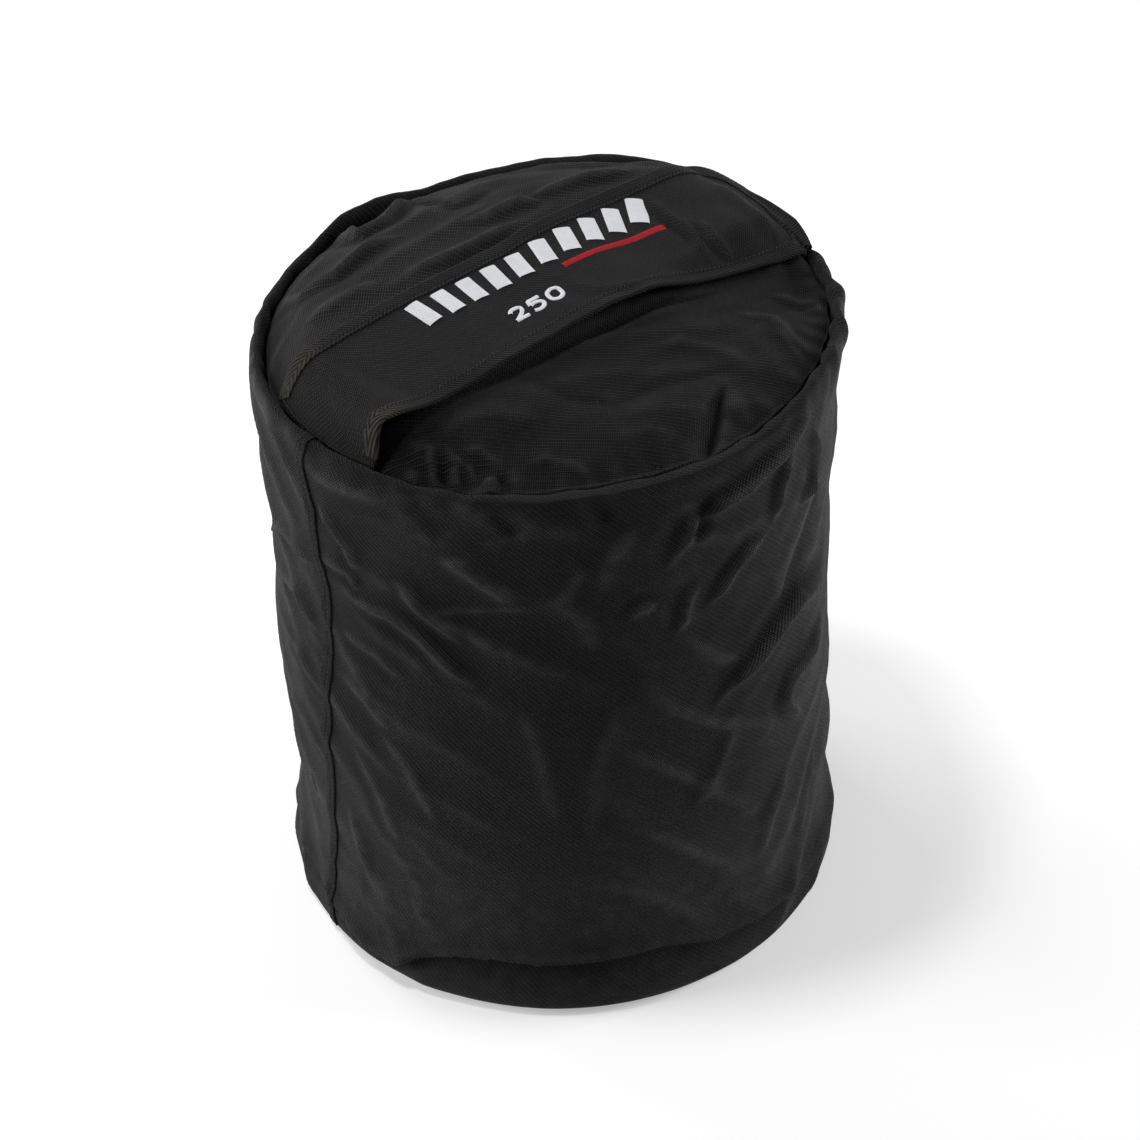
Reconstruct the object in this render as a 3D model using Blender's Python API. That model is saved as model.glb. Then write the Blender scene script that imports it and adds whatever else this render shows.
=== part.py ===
"""Loadable strength-training sandbag: a woven outer bag, a liner full of sand, a zipper and its flap.

Metres, +Z up. The origin is the middle of the base, on the floor. +X runs along the zipper and the flap.
"""
import math

import bmesh
import bpy
from mathutils import Vector

# Outer bag
BAG_RADIUS = 0.2165          # at the puffed rim and at the roll by the floor
GROOVE_INSET = 0.0125        # from there in to where the top is sewn to the wall
GROOVE_HEIGHT = 0.4830
PUFF_RISE = 0.0080           # the rim's puff above the groove
FLOOR_INSET = 0.0060         # where the wall rolls under to the base
ROLL_HEIGHT = 0.0110
CLOTH = 0.0012
TAPE = 0.0008
SEAM_ALLOWANCE = 0.0080
SEAM_GAP = 0.0026            # the open groove at the top seam
BASE_SEAM_GAP = 0.0008
GAP = 0.0003                 # between pieces that touch on the real bag
BINDING_LEG = 0.0045         # tape over the inner seam edges
SIDE_SEAM_WIDTH = 0.0150
FOLD_RISE = 0.0055           # the wall's main folds stand out this much
FOLD_ROW = 0.0500            # the most between two rows of the wall's faces

# Filled top
DOME_RISE = 0.0340
DOME_TILT = 0.0090           # the rear half stands this much above the mean, the front half below
TILT_REACH = 0.0560
FRONT_SLOPE_START = 0.1200   # the front half slopes down more gently than the rest
FRONT_FULLNESS = 6           # exponents: how flat the top stays before it drops to the groove
BAND_FULLNESS = 14

# Zipper
ZIPPER_DROP = 0.0110         # from the dome's top to the cloth beside the teeth
OPENING_HALF_WIDTH = 0.0090
DIP_HALF_WIDTH = 0.0200      # the cloth dips to the zipper inside this
ZIPPER_TAPE_WIDTH = 0.0120
ZIPPER_END_INSET = 0.0025    # from the flap's fold to the end of the zipper, where the two halves of the top meet
CHAIN_INSET = 0.0115         # from there to the end of the teeth
TOOTH_PITCH = 0.0050
TOOTH_ROOT_WIDTH = 0.0032
TOOTH_TIP_WIDTH = 0.0022
TOOTH_LENGTH = 0.0022
SPINE_WIDTH = 0.0018
CHAIN_THICKNESS = 0.0034
CHAIN_HALF_GAP = 0.0008      # half the way that is left for the slider's post
STOP_LENGTH = 0.0030
SLIDE_CLEARANCE = 0.0004

# Slider and pull
SLIDER_LENGTH = 0.0220
SLIDER_HALF_WIDTH = 0.0070
SLIDER_WALL = 0.0014
POST_LENGTH = 0.0030
POST_THICKNESS = 0.0010
BRIDGE_LENGTH = 0.0120
BRIDGE_LEG = 0.0020
BRIDGE_WIDTH = 0.0030
BRIDGE_BAR = 0.0012
PULL_AXIS_RISE = 0.0015      # the pull's pivot above the slider's upper plate
PULL_HEADROOM = 0.0024       # from the pivot to the underside of the bridge
PULL_THICKNESS = 0.0016
PULL_BAR = 0.0016
PULL_WINDOW = 0.0085
PULL_WINDOW_WIDTH = 0.0050
PULL_WIDTH = 0.0100
PULL_LENGTH = 0.0360
PULL_BEVEL = 0.0004

# Flap
FLAP_HALF_WIDTH = 0.0500
FOLD_INSET = 0.0320          # from the groove in to where the flap folds
FLAP_END_INSET = 0.0015      # its free end lies on the rim's puff
FLAP_CORNER_RADIUS = 0.0250
FLAP_SLOPE_LENGTH = 0.0430   # the last stretch slopes down to the rim
FLAP_END_DROP = 0.0220
FLAP_TAPE_WIDTH = 0.0110
HOOK_THICKNESS = 0.0012
HOOK_MARGIN = 0.0030         # between it and the edge tape
HOOK_INSET = 0.0300
HOOK_INNER_EDGE = 0.0220
ROOT_LIFT = 0.0005

# Liner and filling
LINER = 0.0010
LINER_SLACK = 0.0025
LINER_SHOULDER_DROP = 0.0160
LINER_DROP = 0.0080          # below the outer bag's top
TROUGH_DEPTH = 0.0190        # room for the zipper and the neck
TROUGH_FLOOR = 0.0260
TROUGH_EDGE = 0.0560
MOUTH_INSET = 0.0600         # from the flap's fold to the end of the liner's mouth
MOUTH_WIDTH = 0.0036
NECK_RISE = 0.0050
NECK_FOLD = 0.0160
NECK_WALL = 0.0007
NECK_GAP = 0.0006
CLOSURE_INSET = 0.0050
CLOSURE_WIDTH = 0.0110
CLOSURE_THICKNESS = 0.0008
CUT_OVERRUN = 0.0100

RING_STEPS = 40
ROLL_STEPS = 2
PUFF_STEPS = 4
NECK_STEPS = 4
STRIP_STEPS = 16
ROOT_TAPE_ROWS = 6
CORNER_STEPS = 6
HALF_TURN = math.pi
SMOOTH_ANGLE = math.radians(35)
SIDE_SEAM_ANGLE = math.radians(180)

# The wall's outline from the roll up to the rim, as shares of the bag's radius and the groove's height
SIDE_OUTLINE_SHARES = (
    (1.000, 0.058), (0.980, 0.092), (0.963, 0.183), (0.983, 0.492), (0.968, 0.695), (0.997, 0.931),
)
# The wall's main folds, on the grid of its faces: the column and row of a fold's upper end, which way it turns
# as it comes down, how many places it has, and its share of the full rise. Row 0 is the wall's uppermost
WALL_FOLDS = (
    (21, 1, 1, 4, 0.9), (21, 4, 1, 3, 0.6), (24, 0, 1, 3, 0.5), (30, 0, -1, 4, 1.0), (31, 2, -1, 3, 0.7),
    (32, 3, -1, 4, 1.0), (34, 5, -1, 3, 0.6), (36, 1, 1, 4, 0.8), (35, 4, 1, 3, 0.6), (2, 0, 1, 4, 1.0),
    (1, 4, 1, 4, 0.7), (9, 1, -1, 3, 0.8), (8, 5, -1, 3, 0.6), (11, 0, 1, 4, 1.0), (11, 4, 1, 3, 0.7),
    (17, 1, -1, 4, 0.9), (17, 4, -1, 4, 0.7),
)
TOOTH_SHIFT_SHARE = 0.5      # the rear row of teeth stands this much of a pitch along from the front row
SIDE_STRIP_SHARES = (0, 0.5, 1)
PANEL_ROW_SHARES = (0, 0.03, 0.06, 0.14, 0.32, 0.60, 0.80, 0.89, 0.95, 0.985, 1)
ROOT_ROW_SHARES = (0, 0.22, 0.42, 0.60, 0.74, 0.85, 0.93, 0.98, 1)
FLAP_LEFT_SHARES = (0, 0.08, 0.17, 0.29, 0.48, 1)
FLAP_SLOPE_SHARES = (0, 0.5, 1)
LINER_RING_SHARES = (0.18, 0.42, 0.66, 0.84, 0.95)
SLIDER_PLAN_SHARES = (
    (-1, -0.62), (-0.82, -0.90), (0.35, -1), (0.80, -0.86), (1, -0.45),
    (1, 0.45), (0.80, 0.86), (0.35, 1), (-0.82, 0.90), (-1, 0.62),
)
PULL_PLAN_SHARES = (
    (0.40, 0.50), (0.72, 0.38), (0.93, 0.44), (1, 0.26), (1, -0.26), (0.93, -0.44), (0.72, -0.38), (0.40, -0.50),
)

WEBBING_BLACK = (0.018, 0.017, 0.018)
CLOTH_BLACK = (0.024, 0.023, 0.024)
LINER_GREY = (0.20, 0.20, 0.21)
METAL_GREY = (0.33, 0.33, 0.34)
TOOTH_BLACK = (0.03, 0.03, 0.03)
SAND_BROWN = (0.46, 0.36, 0.24)

# Sizes that follow from the ones above
GROOVE_RADIUS = BAG_RADIUS - GROOVE_INSET
FLOOR_RADIUS = BAG_RADIUS - FLOOR_INSET
FOLD_REACH = GROOVE_RADIUS - FOLD_INSET
FLAP_END_RADIUS = BAG_RADIUS - FLAP_END_INSET
FLAP_LEAVES_TOP = FLAP_END_RADIUS - FLAP_SLOPE_LENGTH
ZIPPER_HEIGHT = GROOVE_HEIGHT + DOME_RISE - ZIPPER_DROP
ZIPPER_TAPE_REACH = FOLD_REACH - ZIPPER_END_INSET
CHAIN_HALF_LENGTH = ZIPPER_TAPE_REACH - CHAIN_INSET
HOOK_REACH = FOLD_REACH - HOOK_INSET
HOOK_OUTER_EDGE = FLAP_HALF_WIDTH - FLAP_TAPE_WIDTH - HOOK_MARGIN
LINER_SHOULDER = GROOVE_HEIGHT - LINER_SHOULDER_DROP
MOUTH_LENGTH = 2 * (FOLD_REACH - MOUTH_INSET)
CLOSURE_LENGTH = MOUTH_LENGTH - 2 * CLOSURE_INSET
STANDOFF = 3 * GAP + 2 * HOOK_THICKNESS
GROOVE_OUTER = GROOVE_RADIUS + SEAM_GAP
FLOOR_LIFT = 2 * GAP
TAPE_TOP = ZIPPER_HEIGHT - CLOTH - GAP
CHAIN_HEIGHT = TAPE_TOP - TAPE / 2
CHAIN_EDGE = CHAIN_HALF_GAP + TOOTH_LENGTH + SPINE_WIDTH
PLATE_UNDERSIDE = CHAIN_HEIGHT + CHAIN_THICKNESS / 2 + SLIDE_CLEARANCE
PLATE_TOP = PLATE_UNDERSIDE + SLIDER_WALL
PULL_AXIS_HEIGHT = PLATE_TOP + PULL_AXIS_RISE
SLIDER_REST = SLIDER_LENGTH / 2 - CHAIN_HALF_LENGTH
SLIDER_TRAVEL = -2 * SLIDER_REST


def clear_scene():
    for thing in list(bpy.data.objects):
        bpy.data.objects.remove(thing, do_unlink=True)


def material(name, color, roughness, metallic=0.0):
    found = bpy.data.materials.get(name)
    if found:
        return found
    made = bpy.data.materials.new(name)
    made.use_nodes = True
    shader = made.node_tree.nodes["Principled BSDF"]
    shader.inputs["Base Color"].default_value = (*color, 1.0)
    shader.inputs["Roughness"].default_value = roughness
    shader.inputs["Metallic"].default_value = metallic
    return made


def cloth_material():
    return material("black_cloth", CLOTH_BLACK, 0.75)


def tape_material():
    return material("black_tape", WEBBING_BLACK, 0.8)


def metal_material():
    return material("zipper_metal", METAL_GREY, 0.35, 1.0)


def add_object(name, bm, finish, parent=None):
    """Makes an object of the mesh. With a parent, the mesh is moved so that its origin is the parent's."""
    bmesh.ops.recalc_face_normals(bm, faces=bm.faces)
    if parent:
        bmesh.ops.translate(bm, verts=bm.verts, vec=-parent.location)
    mesh = bpy.data.meshes.new(name)
    bm.to_mesh(mesh)
    bm.free()
    mesh.shade_smooth()
    mesh.set_sharp_from_angle(angle=SMOOTH_ANGLE)
    mesh.materials.append(finish)
    made = bpy.data.objects.new(name, mesh)
    bpy.context.scene.collection.objects.link(made)
    made.parent = parent
    return made


def add_pivot(name, place):
    made = bpy.data.objects.new(name, None)
    made.location = place
    bpy.context.scene.collection.objects.link(made)
    return made


def hide_cutter(thing):
    thing.hide_render = True
    thing.display_type = "WIRE"


def combine(target, tool, operation):
    cut = target.modifiers.new(operation.lower(), "BOOLEAN")
    cut.object = tool
    cut.operation = operation
    cut.solver = "EXACT"


def smooth_step(value):
    held = min(max(value, 0), 1)
    return held * held * (3 - 2 * held)


def blend(first, second, share):
    return first + (second - first) * share


# Outlines

def offset_line(points, distance):
    """Moves an open outline to its left by a distance, with mitred corners."""
    moved = []
    for index, point in enumerate(points):
        before = points[max(index - 1, 0)]
        after = points[min(index + 1, len(points) - 1)]
        normals = []
        for start, end in ((before, point), (point, after)):
            run = Vector((end[0] - start[0], end[1] - start[1]))
            if run.length > 0:
                normals.append(Vector((-run.y, run.x)).normalized())
        mean = sum(normals, Vector((0, 0))).normalized()
        stretch = distance / mean.dot(normals[0])
        moved.append((point[0] + mean.x * stretch, point[1] + mean.y * stretch))
    return moved


def wall_outline(points, thickness):
    """A closed outline: the line and its copy one thickness to the left."""
    return list(points) + offset_line(points, thickness)[::-1]


def arc_points(centre, radii, start, end, steps):
    turns = [blend(start, end, step / steps) for step in range(steps + 1)]
    return [(centre[0] + radii[0] * math.cos(turn), centre[1] + radii[1] * math.sin(turn)) for turn in turns]


def roll_face():
    centre = (FLOOR_RADIUS, FLOOR_LIFT + ROLL_HEIGHT)
    return arc_points(centre, (BAG_RADIUS - FLOOR_RADIUS, ROLL_HEIGHT), -HALF_TURN / 2, 0, ROLL_STEPS)


def upright_face():
    return [(BAG_RADIUS * across, GROOVE_HEIGHT * up) for across, up in SIDE_OUTLINE_SHARES]


def puff_face():
    centre = ((BAG_RADIUS + GROOVE_OUTER) / 2, GROOVE_HEIGHT)
    return arc_points(centre, ((BAG_RADIUS - GROOVE_OUTER) / 2, PUFF_RISE), 0, HALF_TURN, PUFF_STEPS)


def side_face():
    """The wall's face from the roll at the floor, up to the groove at the top."""
    return roll_face() + upright_face() + puff_face()


def divided(points, most):
    """Adds even places between the points of a line, so that no stretch is longer than the most."""
    line = [points[0]]
    for start, end in zip(points, points[1:]):
        steps = math.ceil(math.dist(start, end) / most)
        line += [(blend(start[0], end[0], i / steps), blend(start[1], end[1], i / steps)) for i in range(1, steps + 1)]
    return line


# Solids

def turned(name, outline, finish):
    """Spins a closed outline of (radius, height) points once round the bag's axis."""
    bm = bmesh.new()
    verts = [bm.verts.new((radius, 0, height)) for radius, height in outline]
    edges = [bm.edges.new((verts[i], verts[(i + 1) % len(verts)])) for i in range(len(verts))]
    bmesh.ops.spin(
        bm, geom=verts + edges, cent=(0, 0, 0), axis=(0, 0, 1), dvec=(0, 0, 0),
        angle=2 * math.pi, steps=RING_STEPS, use_merge=True, use_duplicate=False,
    )
    bmesh.ops.remove_doubles(bm, verts=bm.verts, dist=GAP / 10)
    return add_object(name, bm, finish)


def lofted(name, loops, finish, parent=None):
    """Joins closed loops of points in a row, and closes both ends."""
    bm = bmesh.new()
    rings = [[bm.verts.new(point) for point in loop] for loop in loops]
    count = len(rings[0])
    for low, high in zip(rings, rings[1:]):
        for i in range(count):
            j = (i + 1) % count
            bm.faces.new((low[i], low[j], high[j], high[i]))
    bm.faces.new(rings[0][::-1])
    bm.faces.new(rings[-1])
    return add_object(name, bm, finish, parent)


def plate(name, lower, upper, finish, parent=None):
    """A closed solid between two grids of points with the same rows and columns."""
    bm = bmesh.new()
    low = [[bm.verts.new(point) for point in row] for row in lower]
    high = [[bm.verts.new(point) for point in row] for row in upper]
    rows = len(low)
    columns = len(low[0])
    for i in range(rows - 1):
        for j in range(columns - 1):
            bm.faces.new((high[i][j], high[i + 1][j], high[i + 1][j + 1], high[i][j + 1]))
            bm.faces.new((low[i][j + 1], low[i + 1][j + 1], low[i + 1][j], low[i][j]))
    for i in range(rows - 1):
        bm.faces.new((low[i][0], low[i + 1][0], high[i + 1][0], high[i][0]))
        bm.faces.new((high[i][-1], high[i + 1][-1], low[i + 1][-1], low[i][-1]))
    for j in range(columns - 1):
        bm.faces.new((high[0][j], high[0][j + 1], low[0][j + 1], low[0][j]))
        bm.faces.new((low[-1][j], low[-1][j + 1], high[-1][j + 1], high[-1][j]))
    return add_object(name, bm, finish, parent)


def prism(name, plan, low, high, finish, parent=None):
    """Raises a flat outline of (x, y) points from one height to another."""
    return lofted(name, [[(x, y, z) for x, y in plan] for z in (low, high)], finish, parent)


def block(name, x_range, y_range, z_range, finish, parent=None):
    plan = [(x_range[0], y_range[0]), (x_range[1], y_range[0]), (x_range[1], y_range[1]), (x_range[0], y_range[1])]
    return prism(name, plan, z_range[0], z_range[1], finish, parent)


def soften(thing, width):
    bevel = thing.modifiers.new("soft_edges", "BEVEL")
    bevel.width = width
    bevel.segments = 1
    bevel.limit_method = "ANGLE"


# Heights of the top

def dome_rise(y):
    return DOME_RISE + DOME_TILT * min(max(y / TILT_REACH, -1), 1)


def dome_height(x, y):
    """The filled top, without the dip along the zipper."""
    toward_band = smooth_step((y + FRONT_SLOPE_START) / (FRONT_SLOPE_START - FLAP_HALF_WIDTH))
    fullness = blend(FRONT_FULLNESS, BAND_FULLNESS, toward_band)
    share = min(math.hypot(x, y) / GROOVE_RADIUS, 1)
    return GROOVE_HEIGHT + dome_rise(y) * (1 - share ** fullness)


def panel_height(x, y):
    """The top's cloth, which dips beside the zipper."""
    dome = dome_height(x, y)
    dip = min(ZIPPER_HEIGHT, dome)
    return blend(dip, dome, smooth_step((abs(y) - OPENING_HALF_WIDTH) / (DIP_HALF_WIDTH - OPENING_HALF_WIDTH)))


def flap_rest_height(x, y):
    """What the flap lies along: the dome left of the middle, then level, then a straight slope to the rim."""
    if x <= 0:
        return dome_height(x, y)
    past = max(x - FLAP_LEAVES_TOP, 0) / (FLAP_END_RADIUS - FLAP_LEAVES_TOP)
    return GROOVE_HEIGHT + dome_rise(y) - FLAP_END_DROP * past


def lifted(height, x, y, lift):
    """A point above a surface, measured along the surface's normal."""
    step = GAP
    slope_x = (height(x + step, y) - height(x - step, y)) / (2 * step)
    slope_y = (height(x, y + step) - height(x, y - step)) / (2 * step)
    normal = Vector((-slope_x, -slope_y, 1)).normalized()
    return Vector((x, y, height(x, y))) + normal * lift


def flap_point(x, y, lift):
    return lifted(flap_rest_height, x, y, STANDOFF + lift)


def root_point(share, y, lift):
    """The flap's sewn end comes closer to the top as it dives from the fold to the groove."""
    x = -blend(FOLD_REACH + GAP, math.sqrt(GROOVE_RADIUS ** 2 - y ** 2), share)
    closer = blend(STANDOFF, ROOT_LIFT, smooth_step(share))
    return lifted(dome_height, x, y, closer + lift)


# Outer bag

def fold_rises(top_row):
    """How far the wall stands out at the places of its folds. Each fold fades toward its ends."""
    rises = {}
    for column, row, way, places, share in WALL_FOLDS:
        for step in range(places):
            fade = math.sin(HALF_TURN * (step + 1) / (places + 1))
            rises[(column + way * step) % RING_STEPS, top_row - row - step] = FOLD_RISE * share * fade
    return rises


def make_side_panel():
    """The wall, turned under at both seams. Its faces are split along the crests of its folds."""
    rows = divided(upright_face(), FOLD_ROW)
    face = roll_face() + rows + puff_face()
    base_edge = (face[0][0], face[0][1] + SEAM_ALLOWANCE)
    top_edge = (face[-1][0], face[-1][1] - SEAM_ALLOWANCE)
    line = [base_edge] + face + [top_edge]
    rises = fold_rises(len(roll_face()) + len(rows))
    outline = wall_outline(line, CLOTH)
    levels = list(range(len(line))) + list(range(len(line)))[::-1]
    columns = range(RING_STEPS)
    rise = [[rises.get((column, level), 0) for column in columns] for level in levels]
    bm = bmesh.new()
    rings = []
    for (radius, height), lifts in zip(outline, rise):
        turns = [2 * math.pi * column / RING_STEPS for column in columns]
        rings.append([
            bm.verts.new(((radius + lift) * math.cos(turn), (radius + lift) * math.sin(turn), height))
            for turn, lift in zip(turns, lifts)
        ])
    for low in range(len(rings)):
        high = (low + 1) % len(rings)
        for left in columns:
            right = (left + 1) % RING_STEPS
            corners = [rings[low][left], rings[low][right], rings[high][right], rings[high][left]]
            if rise[low][left] + rise[high][right] < rise[low][right] + rise[high][left]:
                corners = corners[1:] + corners[:1]
            bm.faces.new(corners[:3])
            bm.faces.new((corners[0], corners[2], corners[3]))
    add_object("side_panel", bm, cloth_material())


def make_side_seam_strip():
    """The overlap that closes the wall, from the roll up over the rim's crest."""
    face = side_face()
    crest = max(range(len(face)), key=lambda i: face[i][1])
    face = [point for point in face[:crest + 2] if point[1] >= ROLL_HEIGHT]
    turn = SIDE_SEAM_WIDTH / BAG_RADIUS
    lower = offset_line(face, -GAP)
    upper = offset_line(face, -GAP - CLOTH)

    half_facet = HALF_TURN / RING_STEPS

    def round_the_wall(line):
        """Rows of points that lie along the wall's flat face between two columns."""
        angles = [SIDE_SEAM_ANGLE - turn * share for share in SIDE_STRIP_SHARES]
        flats = [math.cos(half_facet) / math.cos(a - SIDE_SEAM_ANGLE + half_facet) for a in angles]
        return [[(r * flat * math.cos(a), r * flat * math.sin(a), z) for a, flat in zip(angles, flats)]
                for r, z in line]

    plate("side_seam_strip", round_the_wall(lower), round_the_wall(upper), cloth_material())


def make_bottom_panel():
    radius = FLOOR_RADIUS - BASE_SEAM_GAP
    line = [(0, 0), (radius, 0), (radius, SEAM_ALLOWANCE)]
    turned("bottom_panel", wall_outline(line, CLOTH), cloth_material())


def folded_tape(inner, outer, closed, open_end):
    """A U of tape over two seam edges: it is closed at one height and open at another."""
    toward_open = math.copysign(1, open_end - closed)
    line = [(outer, open_end), (outer, closed), (inner, closed), (inner, open_end)]
    return wall_outline(line, -TAPE * toward_open)


def make_seam_bindings():
    top_inner = GROOVE_RADIUS - CLOTH - GAP - TAPE
    top_outer = GROOVE_OUTER + CLOTH + GAP + TAPE
    top_end = GROOVE_HEIGHT - SEAM_ALLOWANCE - GAP - TAPE
    outline = folded_tape(top_inner, top_outer, top_end, top_end + BINDING_LEG)
    turned("top_seam_binding", outline, tape_material())
    base_inner = FLOOR_RADIUS - BASE_SEAM_GAP - CLOTH - GAP - TAPE
    base_outer = FLOOR_RADIUS + CLOTH + GAP + TAPE
    base_end = FLOOR_LIFT + SEAM_ALLOWANCE + GAP + TAPE
    outline = folded_tape(base_inner, base_outer, base_end, base_end - BINDING_LEG)
    turned("bottom_seam_binding", outline, tape_material())


def panel_columns():
    """Angles round the rim, in step with the turned wall, and one close to each end of the zipper."""
    step = 2 * math.pi / RING_STEPS
    first = math.asin((OPENING_HALF_WIDTH + CLOTH * 2) / GROOVE_RADIUS)
    return [first] + [step * i for i in range(1, RING_STEPS // 2)] + [HALF_TURN - first]


def make_top_panel(name, side):
    """One half of the top. Side is 1 behind the zipper and -1 in front of it."""
    bm = bmesh.new()
    grid = []
    for angle in panel_columns():
        x = GROOVE_RADIUS * math.cos(angle)
        rim = GROOVE_RADIUS * math.sin(angle)
        column = []
        inner = OPENING_HALF_WIDTH if abs(x) < GROOVE_RADIUS - DIP_HALF_WIDTH else GAP
        for share in PANEL_ROW_SHARES:
            y = side * blend(inner, rim, share)
            column.append(bm.verts.new((x, y, panel_height(x, y))))
        column.append(bm.verts.new((x, side * rim, GROOVE_HEIGHT - SEAM_ALLOWANCE)))
        grid.append(column)
    for left, right in zip(grid, grid[1:]):
        for j in range(len(left) - 1):
            corners = (left[j], left[j + 1], right[j + 1], right[j])
            bm.faces.new(corners if side > 0 else corners[::-1])
    made = add_object(name, bm, cloth_material())
    if made.data.polygons[0].normal.z < 0:
        made.data.flip_normals()
    shell = made.modifiers.new("cloth", "SOLIDIFY")
    shell.thickness = CLOTH
    shell.offset = -1
    shell.use_even_offset = True
    shell.use_quality_normals = True


# Zipper

def make_zipper_tape(name, side):
    inner = CHAIN_EDGE + GAP
    across = sorted((side * inner, side * (inner + ZIPPER_TAPE_WIDTH)))
    block(name, (-ZIPPER_TAPE_REACH, ZIPPER_TAPE_REACH), across, (TAPE_TOP - TAPE, TAPE_TOP), tape_material())


def make_zipper_teeth(name, side, shift):
    """A row of teeth on one spine. The two rows are half a pitch apart."""
    spine_outer = side * CHAIN_EDGE
    spine_inner = side * (CHAIN_EDGE - SPINE_WIDTH)
    tip = side * CHAIN_HALF_GAP
    plan = [(CHAIN_HALF_LENGTH, spine_outer), (-CHAIN_HALF_LENGTH, spine_outer), (-CHAIN_HALF_LENGTH, spine_inner)]
    count = int(2 * CHAIN_HALF_LENGTH / TOOTH_PITCH)
    first = -TOOTH_PITCH * (count - 1) / 2
    for i in range(count):
        x = first + TOOTH_PITCH * (i + shift)
        if x + TOOTH_ROOT_WIDTH / 2 >= CHAIN_HALF_LENGTH:
            break
        plan.append((x - TOOTH_ROOT_WIDTH / 2, spine_inner))
        plan.append((x - TOOTH_TIP_WIDTH / 2, tip))
        plan.append((x + TOOTH_TIP_WIDTH / 2, tip))
        plan.append((x + TOOTH_ROOT_WIDTH / 2, spine_inner))
    plan.append((CHAIN_HALF_LENGTH, spine_inner))
    low = CHAIN_HEIGHT - CHAIN_THICKNESS / 2
    finish = material("zipper_teeth", TOOTH_BLACK, 0.45)
    made = prism(name, plan, low, low + CHAIN_THICKNESS, finish)
    made.modifiers.new("flat_caps", "TRIANGULATE").ngon_method = "CLIP"


def make_zipper_stops():
    start = CHAIN_HALF_LENGTH + GAP
    heights = (CHAIN_HEIGHT - CHAIN_THICKNESS / 2, CHAIN_HEIGHT + CHAIN_THICKNESS / 2)
    finish = metal_material()
    bottom = block(
        "zipper_bottom_stop", (start, start + STOP_LENGTH), (-CHAIN_EDGE, CHAIN_EDGE), heights, finish
    )
    soften(bottom, PULL_BEVEL)
    for name, side in (("zipper_top_stop_front", -1), ("zipper_top_stop_rear", 1)):
        across = sorted((side * CHAIN_HALF_GAP, side * CHAIN_EDGE))
        soften(block(name, (-start - STOP_LENGTH, -start), across, heights, finish), PULL_BEVEL)


def make_slider():
    """Two plates round the chain, joined by the post that parts the teeth, with a bridge for the pull.

    The slider closes the zipper toward -X, so the post is at that end.
    """
    finish = metal_material()
    pivot = add_pivot("zipper_slider_origin", (SLIDER_REST, 0, CHAIN_HEIGHT))
    half_length = SLIDER_LENGTH / 2
    plan = [(SLIDER_REST - half_length * along, SLIDER_HALF_WIDTH * across) for along, across in SLIDER_PLAN_SHARES]
    chain_half = CHAIN_THICKNESS / 2 + SLIDE_CLEARANCE
    slider = prism("zipper_slider", plan, PLATE_UNDERSIDE, PLATE_TOP, finish, pivot)
    under = CHAIN_HEIGHT - chain_half
    post_end = SLIDER_REST - half_length * SLIDER_PLAN_SHARES[3][0]
    sink = SLIDER_WALL / 2
    pieces = [
        prism("slider_lower_plate", plan, under - SLIDER_WALL, under, finish),
        block(
            "slider_post", (post_end, post_end + POST_LENGTH), (-POST_THICKNESS / 2, POST_THICKNESS / 2),
            (under - sink, PLATE_UNDERSIDE + sink), finish,
        ),
    ]
    lip_inner = CHAIN_EDGE + SLIDE_CLEARANCE
    lip_outer = SLIDER_HALF_WIDTH * SLIDER_PLAN_SHARES[1][1]
    lip_ends = [SLIDER_REST - half_length * SLIDER_PLAN_SHARES[i][0] for i in (3, 1)]
    tape_clearance = TAPE / 2 + SLIDE_CLEARANCE
    for side in (-1, 1):
        across = sorted((side * lip_inner, side * -lip_outer))
        pieces.append(block(
            "slider_upper_lip", lip_ends, across, (CHAIN_HEIGHT + tape_clearance, PLATE_UNDERSIDE + sink), finish
        ))
        pieces.append(block(
            "slider_lower_lip", lip_ends, across, (under - sink, CHAIN_HEIGHT - tape_clearance), finish
        ))
    bar_low = PULL_AXIS_HEIGHT + PULL_HEADROOM
    half_bridge = BRIDGE_LENGTH / 2
    width = (-BRIDGE_WIDTH / 2, BRIDGE_WIDTH / 2)
    for side in (-1, 1):
        leg = sorted((SLIDER_REST + side * half_bridge, SLIDER_REST + side * (half_bridge - BRIDGE_LEG)))
        pieces.append(block("slider_bridge_leg", leg, width, (PLATE_TOP - sink, bar_low + BRIDGE_BAR / 2), finish))
    bar = (SLIDER_REST - half_bridge, SLIDER_REST + half_bridge)
    pieces.append(block("slider_bridge_bar", bar, width, (bar_low, bar_low + BRIDGE_BAR), finish))
    for piece in pieces:
        hide_cutter(piece)
        combine(slider, piece, "UNION")


def make_pull():
    """The pull lies on the slider. Its end bar turns under the bridge."""
    finish = metal_material()
    pivot = add_pivot("zipper_pull_origin", (SLIDER_REST, 0, PULL_AXIS_HEIGHT))
    low = PULL_AXIS_HEIGHT - PULL_THICKNESS / 2
    high = PULL_AXIS_HEIGHT + PULL_THICKNESS / 2
    half_bar = PULL_BAR / 2
    plan = [(SLIDER_REST - half_bar, -PULL_WIDTH / 2), (SLIDER_REST - half_bar, PULL_WIDTH / 2)]
    plan += [(SLIDER_REST + PULL_LENGTH * along, PULL_WIDTH * across) for along, across in PULL_PLAN_SHARES]
    pull = prism("zipper_pull_tab", plan, low, high, finish, pivot)
    window_start = SLIDER_REST + half_bar
    window = block(
        "pull_window", (window_start, window_start + PULL_WINDOW), (-PULL_WINDOW_WIDTH / 2, PULL_WINDOW_WIDTH / 2),
        (low - CUT_OVERRUN, high + CUT_OVERRUN), finish,
    )
    hide_cutter(window)
    combine(pull, window, "DIFFERENCE")


# Flap

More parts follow.
